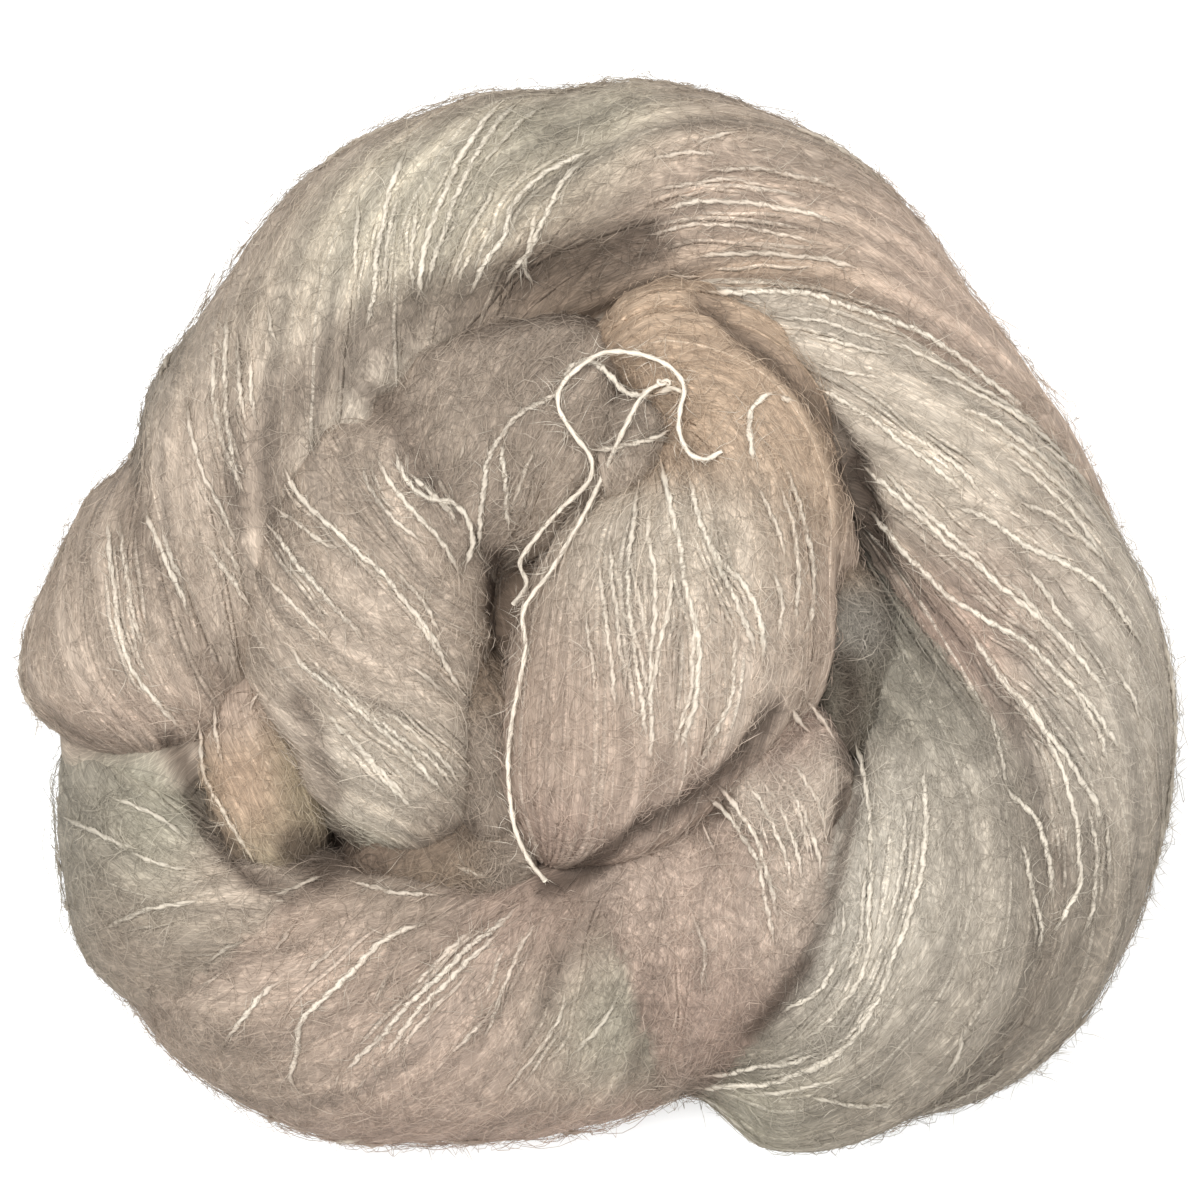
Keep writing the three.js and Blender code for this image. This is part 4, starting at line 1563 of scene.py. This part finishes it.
@dataclass
class Hank:
    """The wound yarn: its cores and the yarns on them.

    Yarns are followed over `turns_seen`, `past_crease` rows past a crease, and under another rope
    down to `seen_depth`. Those on the flank lie beyond a turn in `flank_from`.
    """

    finishes: Finishes
    relief: Relief
    core_step: float = 1.4
    core_around: int = 96
    core_lift: float = 0.02
    soft_gap: float = 1.25
    soft_radius: float = 0.40
    soft_step: float = 1.9
    bright_radius: float = 0.47
    bright_step: float = 0.55
    bright_pitch: float = 3.8
    flank_yarns: int = 22
    turns_seen: tuple[float, float] = (-0.32, 1.42)
    past_crease: float = 0.12
    seen_depth: float = 2.4
    usual_height: float = 36.0
    pixels_beside: tuple[float, float] = (6, 17)
    flank_from: tuple[float, float] = (0.86, 0.98)
    soft_sinks: tuple[float, float] = (-0.42, -0.08)
    seed: int = 7
    bright: Strands = field(init=False)

    def buried(self, rope: Rope, points: Array, margin: float) -> Array:
        """Tells which points of a rope's surface lie inside one of the other ropes."""
        inside = np.zeros(points.shape[:-1], bool)
        for other in ROPES:
            if other is not rope:
                inside |= other.holds(points, margin)
        return inside

    def core(self, rope: Rope) -> Mesh:
        """A rope's solid core, with the low ridges that its bundles of yarn make.

        Args:
            rope: The rope.

        Returns:
            Its mesh, in metres, with its tint.
        """
        work = bmesh.new()
        along = max(24, round(rope.length() / self.core_step))
        around = self.core_around if rope.last > 4 else self.core_around // 2
        bmesh.ops.create_uvsphere(work, u_segments=around, v_segments=along, radius=1)
        mesh = bpy.data.meshes.new(rope.name)
        work.to_mesh(mesh)
        work.free()
        globe = np.empty(len(mesh.vertices) * 3, np.float32)
        mesh.vertices.foreach_get("co", globe)
        globe = globe.reshape(-1, 3).astype(float)
        u = np.arccos(np.clip(globe[:, 2], -1, 1)) / math.pi * rope.last
        w = (np.arctan2(globe[:, 1], globe[:, 0]) / math.pi) % 2
        w = np.where(w > CREASE_END, w - 2, w)
        tip = (u < SLIGHT) | (u > rope.last - SLIGHT)
        w = np.where(tip, 0.5, w)
        points, colours = rope.surface(u, w, rope.bundles(u, w) + self.core_lift)
        mesh.vertices.foreach_set("co", (points * MM).astype(np.float32).ravel())
        put_tint(mesh, colours)
        layer = mesh.attributes.new("lay", "FLOAT_VECTOR", "POINT")
        layer.data.foreach_set("vector", (rope.lay(u, np.round(w, 6)) * MM).astype(np.float32).ravel())
        return mesh

    def cores(self) -> None:
        """Makes the cores and joins them into the piece that replaces the plain solid."""
        work = bmesh.new()
        for rope in ROPES:
            mesh = self.core(rope)
            work.from_mesh(mesh)
            bpy.data.meshes.remove(mesh)
        bmesh.ops.recalc_face_normals(work, faces=work.faces)
        joined = bpy.data.meshes.new("hank_core")
        work.to_mesh(joined)
        work.free()
        piece = put_object("hank_core", joined, self.finishes.core)
        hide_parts("hank")

    def crown_rows(self, rope: Rope, lobe: Lobe, gap: float) -> Array:
        """The crown rows at which yarns lie side by side over a whole lobe.

        Args:
            rope: The rope.
            lobe: Its lobe.
            gap: The distance between yarns, in millimetres.

        Returns:
            The rows, in order.
        """
        low, high = rope.edges(lobe, np.array([0.5]))
        rows = np.linspace(float(low[0]) - 3.0, float(high[0]) + 3.0, 400)
        here = np.clip(rows, 0.5, rope.last - 0.5)
        ahead, behind = rope.point(here + 0.1, 0.5), rope.point(here - 0.1, 0.5)
        length = np.linalg.norm(ahead - behind, axis=1) / 0.2
        girth = math.pi * rope.column(Column.HALF, here)
        along = (lobe.run(rows, 0.65) - lobe.run(rows, 0.35)) / 0.3 * length
        density = length * girth / np.hypot(girth, along) / gap
        count = np.concatenate([[0], np.cumsum((density[1:] + density[:-1]) / 2 * np.diff(rows))])
        return np.interp(np.arange(0, count[-1]), count, rows)

    def traces(
        self, rope: Rope, lobe: Lobe, crowns: Array, step: float, rng: Random
    ) -> list[tuple[Array, Array, Array]]:
        """Follows yarns of a lobe from crease to crease, as far as they can be seen.

        Args:
            rope: The rope they lie on.
            lobe: The lobe of that rope.
            crowns: The rows at which they cross, or would cross, the crown.
            step: The distance between their points.
            rng: Random numbers.

        Returns:
            For each yarn that shows, the distances along it, row numbers and turns.
        """
        w = np.linspace(*self.turns_seen, 160)[None]
        phase = rng.uniform(0, 2 * math.pi, (len(WANDER), len(crowns), 1))
        wander = sum(size * np.sin(w * swings + phase[i]) for i, (size, swings) in enumerate(WANDER))
        u = lobe.run(crowns[:, None], w) + wander
        w = np.broadcast_to(w, u.shape)
        low, high = rope.edges(lobe, w)
        low, high = rope.within(low - self.past_crease), rope.within(high + self.past_crease)
        shown = (u > low) & (u < high)
        points = rope.point(rope.within(u), w)
        shown[shown] = ~self.buried(rope, points[shown], self.seen_depth)
        found = []
        for i in range(len(crowns)):
            a, b = longest_run(shown[i])
            if b - a < 5:
                continue
            steps = np.linalg.norm(np.diff(points[i, a:b], axis=0), axis=1)
            run = np.concatenate([[0], np.cumsum(steps)])
            if run[-1] < 4 * step:
                continue
            even = np.linspace(0, run[-1], max(4, round(run[-1] / step)))
            found.append((even, np.interp(even, run, u[i, a:b]), np.interp(even, run, w[i, a:b])))
        return found

    def soft_yarns(self, rope: Rope, lobe: Lobe, strands: Strands, rng: Random) -> None:
        """Lays the dim yarns of one lobe side by side.

        Args:
            rope: The rope.
            lobe: Its lobe.
            strands: Where they are gathered.
            rng: Random numbers.
        """
        crowns = self.crown_rows(rope, lobe, self.soft_gap)
        found = self.traces(rope, lobe, crowns + rng.normal(0, 0.03, len(crowns)), self.soft_step, rng)
        if not found:
            return
        counts = [len(run) for run, _, _ in found]
        lifts = rng.uniform(*self.soft_sinks, len(found)) - 0.12 * max(0.0, lobe.fuzz - 1)
        u, w = np.concatenate([t[1] for t in found]), np.concatenate([t[2] for t in found])
        lift = np.repeat(lifts, counts) + rope.bundles(u, w) * BUNDLES_FOLLOWED
        points, colours = rope.surface(u, w, lift)
        ends = np.cumsum(counts)[:-1]
        for (run, _, _), line, colour in zip(found, np.split(points, ends), np.split(colours, ends)):
            away = np.minimum(run, run[-1] - run)
            radius = self.soft_radius * rng.uniform(0.8, 1.3) * np.clip(away / 3, 0.3, 1)
            gain = 1 + rng.normal(0, 0.4 * lobe.streaks)
            pale = max(0.0, rng.normal(-0.03, 2.6 * lobe.streaks))
            strands.add(line, radius, mixed(colour * gain, PALE_YARN, pale))
        LOG.info("%s, lobe %s: %d soft yarns", rope.name, lobe.name, len(found))

    def twisted(
        self, line: Array, strength: float, fade: float, colour: Array, strands: Strands,
        rng: Random,
    ) -> None:
        """Adds one bright yarn of two plies, fading at its ends.

        Args:
            line: Points on its centre line, in millimetres.
            strength: How bright it is.
            fade: How far it fades from its ends, in millimetres.
            colour: The colours round it.
            strands: Where it is gathered.
            rng: Random numbers.
        """
        run = np.arange(len(line)) * self.bright_step
        away = np.minimum(run, run[-1] - run)
        phase = rng.uniform(0, 2 * math.pi, 4)
        slow = 1 + 0.12 * np.sin(run / 3.1 + phase[0]) + 0.08 * np.sin(run / 1.3 + phase[1])
        share = np.clip((0.33 + 0.52 * strength) * np.clip(away / fade, 0.1, 1) * slow, 0, 1)[:, None]
        pitch = self.bright_pitch * rng.uniform(0.85, 1.25)
        radius = self.bright_radius * (0.75 + 0.3 * strength) * rng.uniform(0.9, 1.1)
        radius = radius * np.clip(away / min(fade, 2.5), 0.25, 1) * (1 + 0.06 * np.sin(run / 1.7 + phase[2]))
        tilt = run * 2 * math.pi / pitch + phase[3]
        strands.add(line, radius, mixed(colour, PALE_YARN, share), tilt)

    def laid(self, pixels: Array, bridge: int) -> tuple[Array, Array]:
        """Lays a line of the photograph's pixels on the hank.

        Args:
            pixels: The line's points.
            bridge: How many of its points it keeps its height over.

        Returns:
            Their places in the ground plan and their heights, in millimetres.
        """
        height = np.full(len(pixels), self.usual_height)
        for _ in range(3):
            height = self.relief.height(SIGHT.place(pixels, height))
        padded = np.pad(height, bridge // 2, mode="edge")
        mean = np.convolve(padded, np.ones(bridge) / bridge, mode="valid")
        height = np.maximum(height, mean)
        return SIGHT.place(pixels, height), height

    def seen_yarns(self, bright: Strands, soft: Strands, rng: Random) -> None:
        """Lays the bright yarns that the photograph shows over the upper side, and dimmer ones by them.

        Args:
            bright: Where the bright yarns are gathered.
            soft: Where the dimmer ones are gathered.
            rng: Random numbers.
        """
        for seen in SEEN_YARNS:
            pixels = even_line(np.array(seen.pixels, float), self.bright_step / SIGHT.pixel * 1.03)
            steps = np.arange(len(pixels)) * self.bright_step
            phase = rng.uniform(0, 2 * math.pi, 2)
            swing = 1.2 * np.sin(steps / 3.3 + phase[0]) + 0.55 * np.sin(steps / 1.1 + phase[1])
            swing += 0.35 * np.sin(steps * 2.1 + 2 * phase[0])
            run = unit(np.gradient(pixels, axis=0))
            side = np.stack([-run[:, 1], run[:, 0]], -1)
            place, height = self.laid(pixels + side * swing[:, None], seen.bridge)
            away = np.minimum(steps, steps[-1] - steps)
            rise = rng.uniform(0.20, 0.36) - 0.55 * np.clip(1 - away / seen.fade, 0, 1) ** 2
            line = np.concatenate([place, (height + rise)[:, None]], axis=1)
            self.twisted(line, seen.strength, seen.fade, self.relief.colour(place), bright, rng)
            if seen.bridge <= 9 and len(pixels) > 24:
                for _ in range(rng.integers(1, 4)):
                    self.beside(pixels, side, height, soft, rng)

    def beside(self, pixels: Array, side: Array, height: Array, soft: Strands, rng: Random) -> None:
        """Lays a dimmer yarn beside a bright one, as far as both lie on the same bundle.

        Args:
            pixels: The bright yarn's points in the photograph.
            side: The way across it at each.
            height: Its height at each, in millimetres.
            soft: Where the dimmer yarn is gathered.
            rng: Random numbers.
        """
        part = np.linspace(-1, 1, len(pixels))
        aside = rng.choice((-1, 1)) * rng.uniform(*self.pixels_beside) + rng.normal(0, 3) * part
        aside += rng.uniform(0.5, 1.5) * np.sin(part * rng.uniform(4, 14) + rng.uniform(0, 6))
        place, level = self.laid(pixels + side * aside[:, None], 9)
        start, stop = longest_run(np.abs(level - height) < 0.9)
        start += round(rng.uniform(0, 0.25) * (stop - start))
        stop -= round(rng.uniform(0, 0.25) * (stop - start))
        kept = slice(start, stop, 2)
        place, level = place[kept], level[kept]
        if len(place) < 8:
            return
        run = np.arange(len(place)) * 2 * self.bright_step
        fade = np.clip(np.minimum(run, run[-1] - run) / 4, 0, 1)
        line = np.concatenate([place, (level + rng.uniform(0.0, 0.16) - 0.4 * (1 - fade))[:, None]], axis=1)
        share = (rng.uniform(0.15, 0.5) * np.clip(fade, 0.1, 1))[:, None]
        colours = mixed(self.relief.colour(place), PALE_YARN, share)
        soft.add(line, self.soft_radius * rng.uniform(0.85, 1.15) * np.clip(fade, 0.3, 1), colours)

    def flank(self, strands: Strands, rng: Random) -> None:
        """Lays bright yarns over the outer side, which the photograph doesn't show.

        Args:
            strands: Where they are gathered.
            rng: Random numbers.
        """
        for lobe in OUTER_COIL.lobes:
            rows = self.crown_rows(OUTER_COIL, lobe, 1.0)
            chosen = rng.choice(rows, self.flank_yarns)
            for _, u, w in self.traces(OUTER_COIL, lobe, chosen, self.bright_step, rng):
                kept = w > rng.uniform(*self.flank_from)
                if kept.sum() < 14:
                    continue
                points, colours = OUTER_COIL.surface(u[kept], w[kept], rng.uniform(0.25, 0.4))
                self.twisted(points, rng.uniform(0.25, 0.7), 4.0, colours, strands, rng)

    def yarns(self) -> None:
        """Makes every yarn that lies on the ropes, in a soft and a bright piece."""
        rng = np.random.default_rng(self.seed)
        soft, bright = Strands("soft_yarns", 3), Strands("bright_yarns", 6, 0.64)
        self.bright = bright
        for rope in ROPES:
            for lobe in rope.lobes:
                self.soft_yarns(rope, lobe, soft, rng)
        self.seen_yarns(bright, soft, rng)
        self.flank(bright, rng)
        for strands, finish in ((soft, self.finishes.soft), (bright, self.finishes.bright)):
            put_object(strands.name, strands.mesh(), finish)


def hairs(line: Array, colour: Array, count: int, rng: Random) -> tuple[Array, Array]:
    """Short fibres that leave a yarn at a small angle.

    Args:
        line: Points on the yarn's centre line, in millimetres.
        colour: Its colour at each.
        count: How many fibres.
        rng: Random numbers.

    Returns:
        The fibres' points and colours, one fibre a row.
    """
    start = rng.integers(0, len(line), count)
    run = unit(np.gradient(line, axis=0)[start])
    run *= np.where(rng.random(count) < 0.5, 1, -1)[:, None]
    aside = np.stack([-run[:, 1], run[:, 0], np.zeros(count)], -1)
    length = rng.uniform(*HAIR_LENGTHS, count)[:, None, None]
    s = np.linspace(0, 1, 3)[None, :, None]
    swing = (rng.normal(0, 0.45, count)[:, None, None] + rng.normal(0, 0.5, count)[:, None, None] * s) * s
    up = rng.uniform(0.0, HAIR_RISE, count)[:, None, None] * s
    origin = line[start] + aside * rng.uniform(-0.2, 0.2, count)[:, None]
    points = origin[:, None] + length * (run[:, None] * s + aside[:, None] * swing)
    points[..., 2] += (length * up)[..., 0] + 0.12
    return points, np.repeat(colour[start][:, None], 3, axis=1)


@dataclass(frozen=True)
class FibreKind:
    """Fibres of one range of lengths, in millimetres, and how many points each has."""

    shortest: float
    longest: float
    points: int


FIBRE_KINDS = (FibreKind(0.0, 3.2, 3), FibreKind(3.2, 6.4, 4), FibreKind(6.4, 99.0, 6))


@dataclass
class Halo:
    """The loose fibres of mohair that stand off the yarns.

    `free_share` of them have a free end, and the others lie in an arch. `on_bright` is how many
    stand on a millimetre of a bright yarn. The others are rooted over `turns`, and a steep place
    has the share `on_flank` of what a level one has.
    """

    hank: Hank
    fibres: int = 48000
    pieces: int = 4
    thickness: float = 0.042
    on_bright: float = 2.4
    lengths: tuple[float, float] = (1.5, 13)
    usual_height: float = 0.45
    heights: tuple[float, float] = (0.03, 2.0)
    free_share: float = 0.35
    seed: int = 23
    tries_per_mm: int = 260
    turns: tuple[float, float] = (-0.25, 1.3)
    on_flank: float = 0.3

    def roots(self, rope: Rope, rng: Random) -> tuple[Array, Array, Array]:
        """Tries places for fibres all over a rope.

        Args:
            rope: The rope.
            rng: Random numbers.

        Returns:
            Row numbers, turns, and how much halo each place should have, by its area.
        """
        tries = round(rope.length() * self.tries_per_mm)
        u = rng.uniform(NEAR_END, rope.last - NEAR_END, tries)
        w = rng.uniform(*self.turns, tries)
        normal = np.cross(*rope.slopes(u, w))
        area = np.linalg.norm(normal, axis=1)
        facing = np.abs(normal[:, 2]) / np.maximum(area, 1e-9) * (w > 0) * (w < 1)
        fuzz = np.array([lobe.fuzz for lobe in rope.lobes])[rope.lobe_numbers(u, w)]
        tried = tries / (rope.last * np.ptp(self.turns))
        weight = area / tried * (self.on_flank + (1 - self.on_flank) * facing) * fuzz
        free = ~self.hank.buried(rope, rope.point(u, w, -0.6), 0.8)
        return u[free], w[free], weight[free]

    def grow(self, rope: Rope, u: Array, w: Array, strands: list[Strands], rng: Random) -> None:
        """Grows fibres at places of one rope.

        Args:
            rope: The rope.
            u: Row numbers of their roots.
            w: Turns of their roots.
            strands: The pieces that they are shared between.
            rng: Random numbers.
        """
        n = len(u)
        du, dw = rope.slopes(u, w)
        numbers = rope.lobe_numbers(u, w)
        lean = np.array([lobe.lean() for lobe in rope.lobes])[numbers]
        wild = rng.random(n) < np.array([lobe.wild for lobe in rope.lobes])[numbers]
        lay = unit(du * lean[:, None] + dw)
        side = np.cross(unit(np.cross(du, dw)), lay)
        angle = np.where(wild, rng.uniform(-math.pi, math.pi, n), rng.normal(0, 0.38, n))
        angle += math.pi * (rng.random(n) < 0.5)
        curl = rng.normal(0, 0.32, n)
        length = np.clip(rng.lognormal(1.3, 0.55, n), *self.lengths)
        height = np.clip(rng.exponential(self.usual_height, n), *self.heights)
        free = rng.random(n) < self.free_share
        a, b, c = (du * du).sum(1), (du * dw).sum(1), (dw * dw).sum(1)
        span = np.maximum(a * c - b * b, 1e-6)
        for kind in FIBRE_KINDS:
            on = (length >= kind.shortest) & (length < kind.longest)
            steps = [np.zeros((int(on.sum()), 2))]
            reach = length[on] / (kind.points - 1)
            for k in range(kind.points - 1):
                bearing = angle[on] + curl[on] * reach * (k + 0.5)
                way = np.cos(bearing)[:, None] * lay[on] + np.sin(bearing)[:, None] * side[on]
                way *= reach[:, None]
                p, q = (du[on] * way).sum(1), (dw[on] * way).sum(1)
                move = np.stack([p * c[on] - q * b[on], q * a[on] - p * b[on]], -1)
                steps.append(steps[-1] + move / span[on][:, None])
            walk = np.stack(steps, 1)
            us = rope.within(u[on][:, None] + np.clip(walk[..., 0], -1.2, 1.2))
            ws = w[on][:, None] + np.clip(walk[..., 1], -0.4, 0.4)
            s = np.linspace(0, 1, kind.points)[None]
            arch = np.where(free[on][:, None], s**1.5 * 1.2, 4 * s * (1 - s))
            self.share_out(rope.surface(us, ws, 0.35 + height[on][:, None] * arch), strands, rng)

    def share_out(self, fibres: tuple[Array, Array], strands: list[Strands], rng: Random) -> None:
        """Shares fibres between the pieces, each with its own thickness and paleness.

        Args:
            fibres: Their points and their colours, one fibre a row.
            strands: The pieces.
            rng: Random numbers.
        """
        lines, colours = fibres
        clear = np.linalg.norm(np.diff(lines, axis=1), axis=2).min(axis=1) > 0.02
        lines, colours = lines[clear], colours[clear]
        pale = np.clip(rng.normal(0.08, 0.10, len(lines)), 0, 0.5)[:, None, None]
        colours = mixed(colours, PALE_YARN, pale) * rng.normal(1.01, 0.045, len(lines))[:, None, None]
        taper = np.ones(lines.shape[1])
        taper[[0, -1]] = 0
        thick = self.thickness * rng.uniform(0.6, 1.3, len(lines))
        for i, piece in enumerate(rng.integers(len(strands), size=len(lines))):
            strands[piece].add(lines[i], thick[i] * taper, colours[i])

    def along_bright(self, bright: Strands, strands: list[Strands], rng: Random) -> None:
        """Grows short fibres along the bright yarns.

        Args:
            bright: The bright yarns.
            strands: The pieces that the fibres are shared between.
            rng: Random numbers.
        """
        per_point = self.on_bright * self.hank.bright_step
        for line, colour in zip(bright.lines, bright.colours):
            count = rng.poisson(len(line) * per_point)
            self.share_out(hairs(line, colour, count, rng), strands, rng)

    def build(self) -> None:
        """Makes the halo, in pieces small enough for the export."""
        rng = np.random.default_rng(self.seed)
        total = self.fibres // 1
        places = [(rope, *self.roots(rope, rng)) for rope in ROPES]
        weight = sum(float(place[3].sum()) for place in places)
        pieces = [Strands(f"halo_{i + 1}", 3) for i in range(self.pieces)]
        for rope, u, w, share in places:
            kept = rng.random(len(u)) < share * total / weight
            LOG.info("%s: halo of %d fibres", rope.name, kept.sum())
            self.grow(rope, u[kept], w[kept], pieces, rng)
        self.along_bright(self.hank.bright, pieces, rng)
        for strands in pieces:
            put_object(strands.name, strands.mesh(), self.hank.finishes.halo)


@dataclass
class Tie:
    """The two ends of the yarn that ties the hank, and the small knot on the longer one."""

    finish: Material
    diameter: float = 0.8
    radius: float = 0.35
    step: float = 0.4
    pitch: float = 4.4
    hairs_per_mm: float = 3.0
    colour: tuple[float, float, float] = (0.865, 0.82, 0.755)
    knot_place: tuple[float, float, float] = (8.4, 29.0, 41.0)
    knot_radius: float = 0.26
    knot_size: tuple[float, float, float] = (0.28, 0.30, 0.20)

    LONG_END = np.array([
        (-6.6, -34.0, 31.3), (-8.6, -31.3, 33.7), (-10.3, -27.3, 35.8), (-11.0, -22.9, 36.6),
        (-11.2, -18.5, 36.6), (-10.7, -13.4, 36.9), (-9.7, -8.4, 37.3), (-9.0, -4.0, 37.1),
        (-9.4, -0.1, 36.1), (-8.1, 2.5, 35.9), (-6.1, 5.0, 36.5), (-3.9, 8.6, 36.9), (-1.5, 12.8, 36.3),
        (0.6, 17.2, 34.7), (2.8, 22.0, 38.0), (4.6, 25.6, 40.0), (6.0, 27.7, 40.6), (8.0, 28.9, 40.8),
    ])
    FREE_END = np.array([
        (-10.7, 1.2, 28.2), (-9.0, 3.8, 30.1), (-9.8, 6.6, 31.5), (-7.5, 10.0, 32.5), (-4.7, 13.2, 33.1),
        (-1.1, 16.7, 35.9), (-0.8, 19.7, 37.1), (-2.9, 22.6, 38.2), (-4.8, 25.9, 38.6), (-4.5, 28.6, 38.6),
        (-2.4, 30.9, 38.1), (0.9, 32.8, 40.0), (5.4, 32.5, 41.7), (9.1, 30.9, 42.4), (10.9, 28.4, 42.5),
        (10.4, 25.5, 42.2), (10.3, 22.8, 42.7), (11.5, 20.1, 43.9), (13.5, 19.3, 44.5), (15.6, 20.3, 44.7),
    ])

    def piece(self, name: str, line: Array, radius: float) -> Object:
        """One twisted yarn along a line.

        Args:
            name: The piece's name.
            line: Points on its centre line, in millimetres.
            radius: Its radius, in millimetres.

        Returns:
            The piece.
        """
        strands = Strands(name, 8, 0.78)
        run = np.arange(len(line)) * self.step
        radii = radius * (1 + 0.07 * np.sin(run * 1.9) + 0.05 * np.sin(run * 0.7 + 1))
        colour = np.tile(self.colour, (len(line), 1))
        strands.add(line, radii, colour, run * 2 * math.pi / self.pitch)
        return put_object(name, strands.mesh(), self.finish)

    def fuzz(self, name: str, line: Array) -> Object:
        """The short fibres that stand off one end of the tie.

        Args:
            name: The piece's name.
            line: Points on the tie's centre line, in millimetres.

        Returns:
            The piece.
        """
        rng = np.random.default_rng(len(line))
        count = round(len(line) * self.step * self.hairs_per_mm)
        lines, colours = hairs(line, np.tile(self.colour, (len(line), 1)), count, rng)
        strands = Strands(name, 3)
        for fibre, colour in zip(lines, colours):
            strands.add(fibre, np.array([0, 0.04, 0]), colour)
        return put_object(name, strands.mesh(), self.finish)

    def cord(self, name: str, points: Array) -> None:
        """One end of the tie, in place of its CAD node.

        Args:
            name: The CAD node that it replaces.
            points: The route, in millimetres.
        """
        line = even_line(points, self.step)
        piece = self.piece(name + "_twist", line, self.radius)
        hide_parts(name)
        self.fuzz(name + "_fuzz", line)

    def knot(self) -> Object:
        """The small knot where the long end is tied off."""
        angle = np.linspace(0, 2 * math.pi, 40, endpoint=False)
        loops = np.stack([
            np.sin(angle) + 2 * np.sin(2 * angle), -np.sin(3 * angle), np.cos(angle) - 2 * np.cos(2 * angle),
        ], -1)
        line = loops * np.array(self.knot_size) + np.array(self.knot_place)
        return self.piece("tie_knot", line, self.knot_radius)

    def build(self) -> None:
        """Makes the knot and both ends."""
        knot = self.knot()
        self.cord("tie_yarn", self.LONG_END)
        self.cord("tie_end", self.FREE_END)


@dataclass
class Studio:
    """The camera, the soft lights and the pale floor.

    Each of `lamps` has a name, a place and a side in metres, and a power in watts.
    """

    frame_pixels: int = 1200
    sensor: float = 36.0
    sky: float = 0.86
    light_colour: tuple[float, float, float] = (0.985, 1.0, 1.01)
    lamps: tuple = (("key", (-0.16, 0.16, 0.95), 0.5, 10.5), ("fill", (0.45, -0.25, 0.85), 0.9, 3.4))
    paper: tuple[float, float, float, float] = (0.93, 0.93, 0.93, 1)

    def camera(self) -> None:
        """Looks straight down, with the photograph's framing."""
        data = bpy.data.cameras.new("camera")
        data.sensor_width = self.sensor
        width = SIGHT.pixel * self.frame_pixels
        data.lens = self.sensor * (SIGHT.eye[2] - SIGHT.scale_height) / width
        data.clip_start, data.clip_end = 0.01, 20
        holder = placed("camera", data)
        holder.location = tuple(v * MM for v in SIGHT.eye)
        bpy.context.scene.camera = holder

    def light(self, name: str, place: tuple[float, float, float], size: float, power: float) -> None:
        """Adds one soft light that looks at the hank.

        Args:
            name: Its name.
            place: Where it hangs, in metres.
            size: The side of its square, in metres.
            power: Its power, in watts.
        """
        data = bpy.data.lights.new(name, "AREA")
        data.shape = "SQUARE"
        data.size = size
        data.energy = power
        data.color = self.light_colour
        holder = placed(name, data)
        holder.location = place
        aim = math.atan2(math.hypot(place[0], place[1]), place[2])
        holder.rotation_euler = (0, aim, math.atan2(place[1], place[0]))

    def floor(self) -> None:
        """Lays a plain pale floor under the hank."""
        work = bmesh.new()
        bmesh.ops.create_grid(work, x_segments=1, y_segments=1, size=2.0)
        mesh = bpy.data.meshes.new("floor")
        work.to_mesh(mesh)
        work.free()
        material = bpy.data.materials.new("floor_paper")
        material.use_nodes = True
        shader = material.node_tree.nodes["Principled BSDF"]
        shader.inputs["Base Color"].default_value = self.paper
        shader.inputs["Roughness"].default_value = 0.9
        mesh.materials.append(material)
        placed("floor", mesh)

    def build(self) -> None:
        """Makes the whole studio."""
        scene = bpy.context.scene
        scene.view_settings.view_transform = "Standard"
        world = bpy.data.worlds.new("studio")
        world.use_nodes = True
        sky = world.node_tree.nodes["Background"].inputs
        sky["Color"].default_value, sky["Strength"].default_value = (1, 1, 1, 1), self.sky
        scene.world = world
        self.camera()
        for lamp in self.lamps:
            self.light(*lamp)
        self.floor()


def main() -> None:
    """Builds the studio, the tie, the hank and its halo."""
    logging.basicConfig(level=logging.INFO, format="%(name)s %(message)s")
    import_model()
    Studio().build()
    finishes = Finishes()
    Tie(finishes.tie).build()
    hank = Hank(finishes, Relief())
    hank.cores()
    hank.yarns()
    Halo(hank).build()


if __name__ == "__main__":
    main()
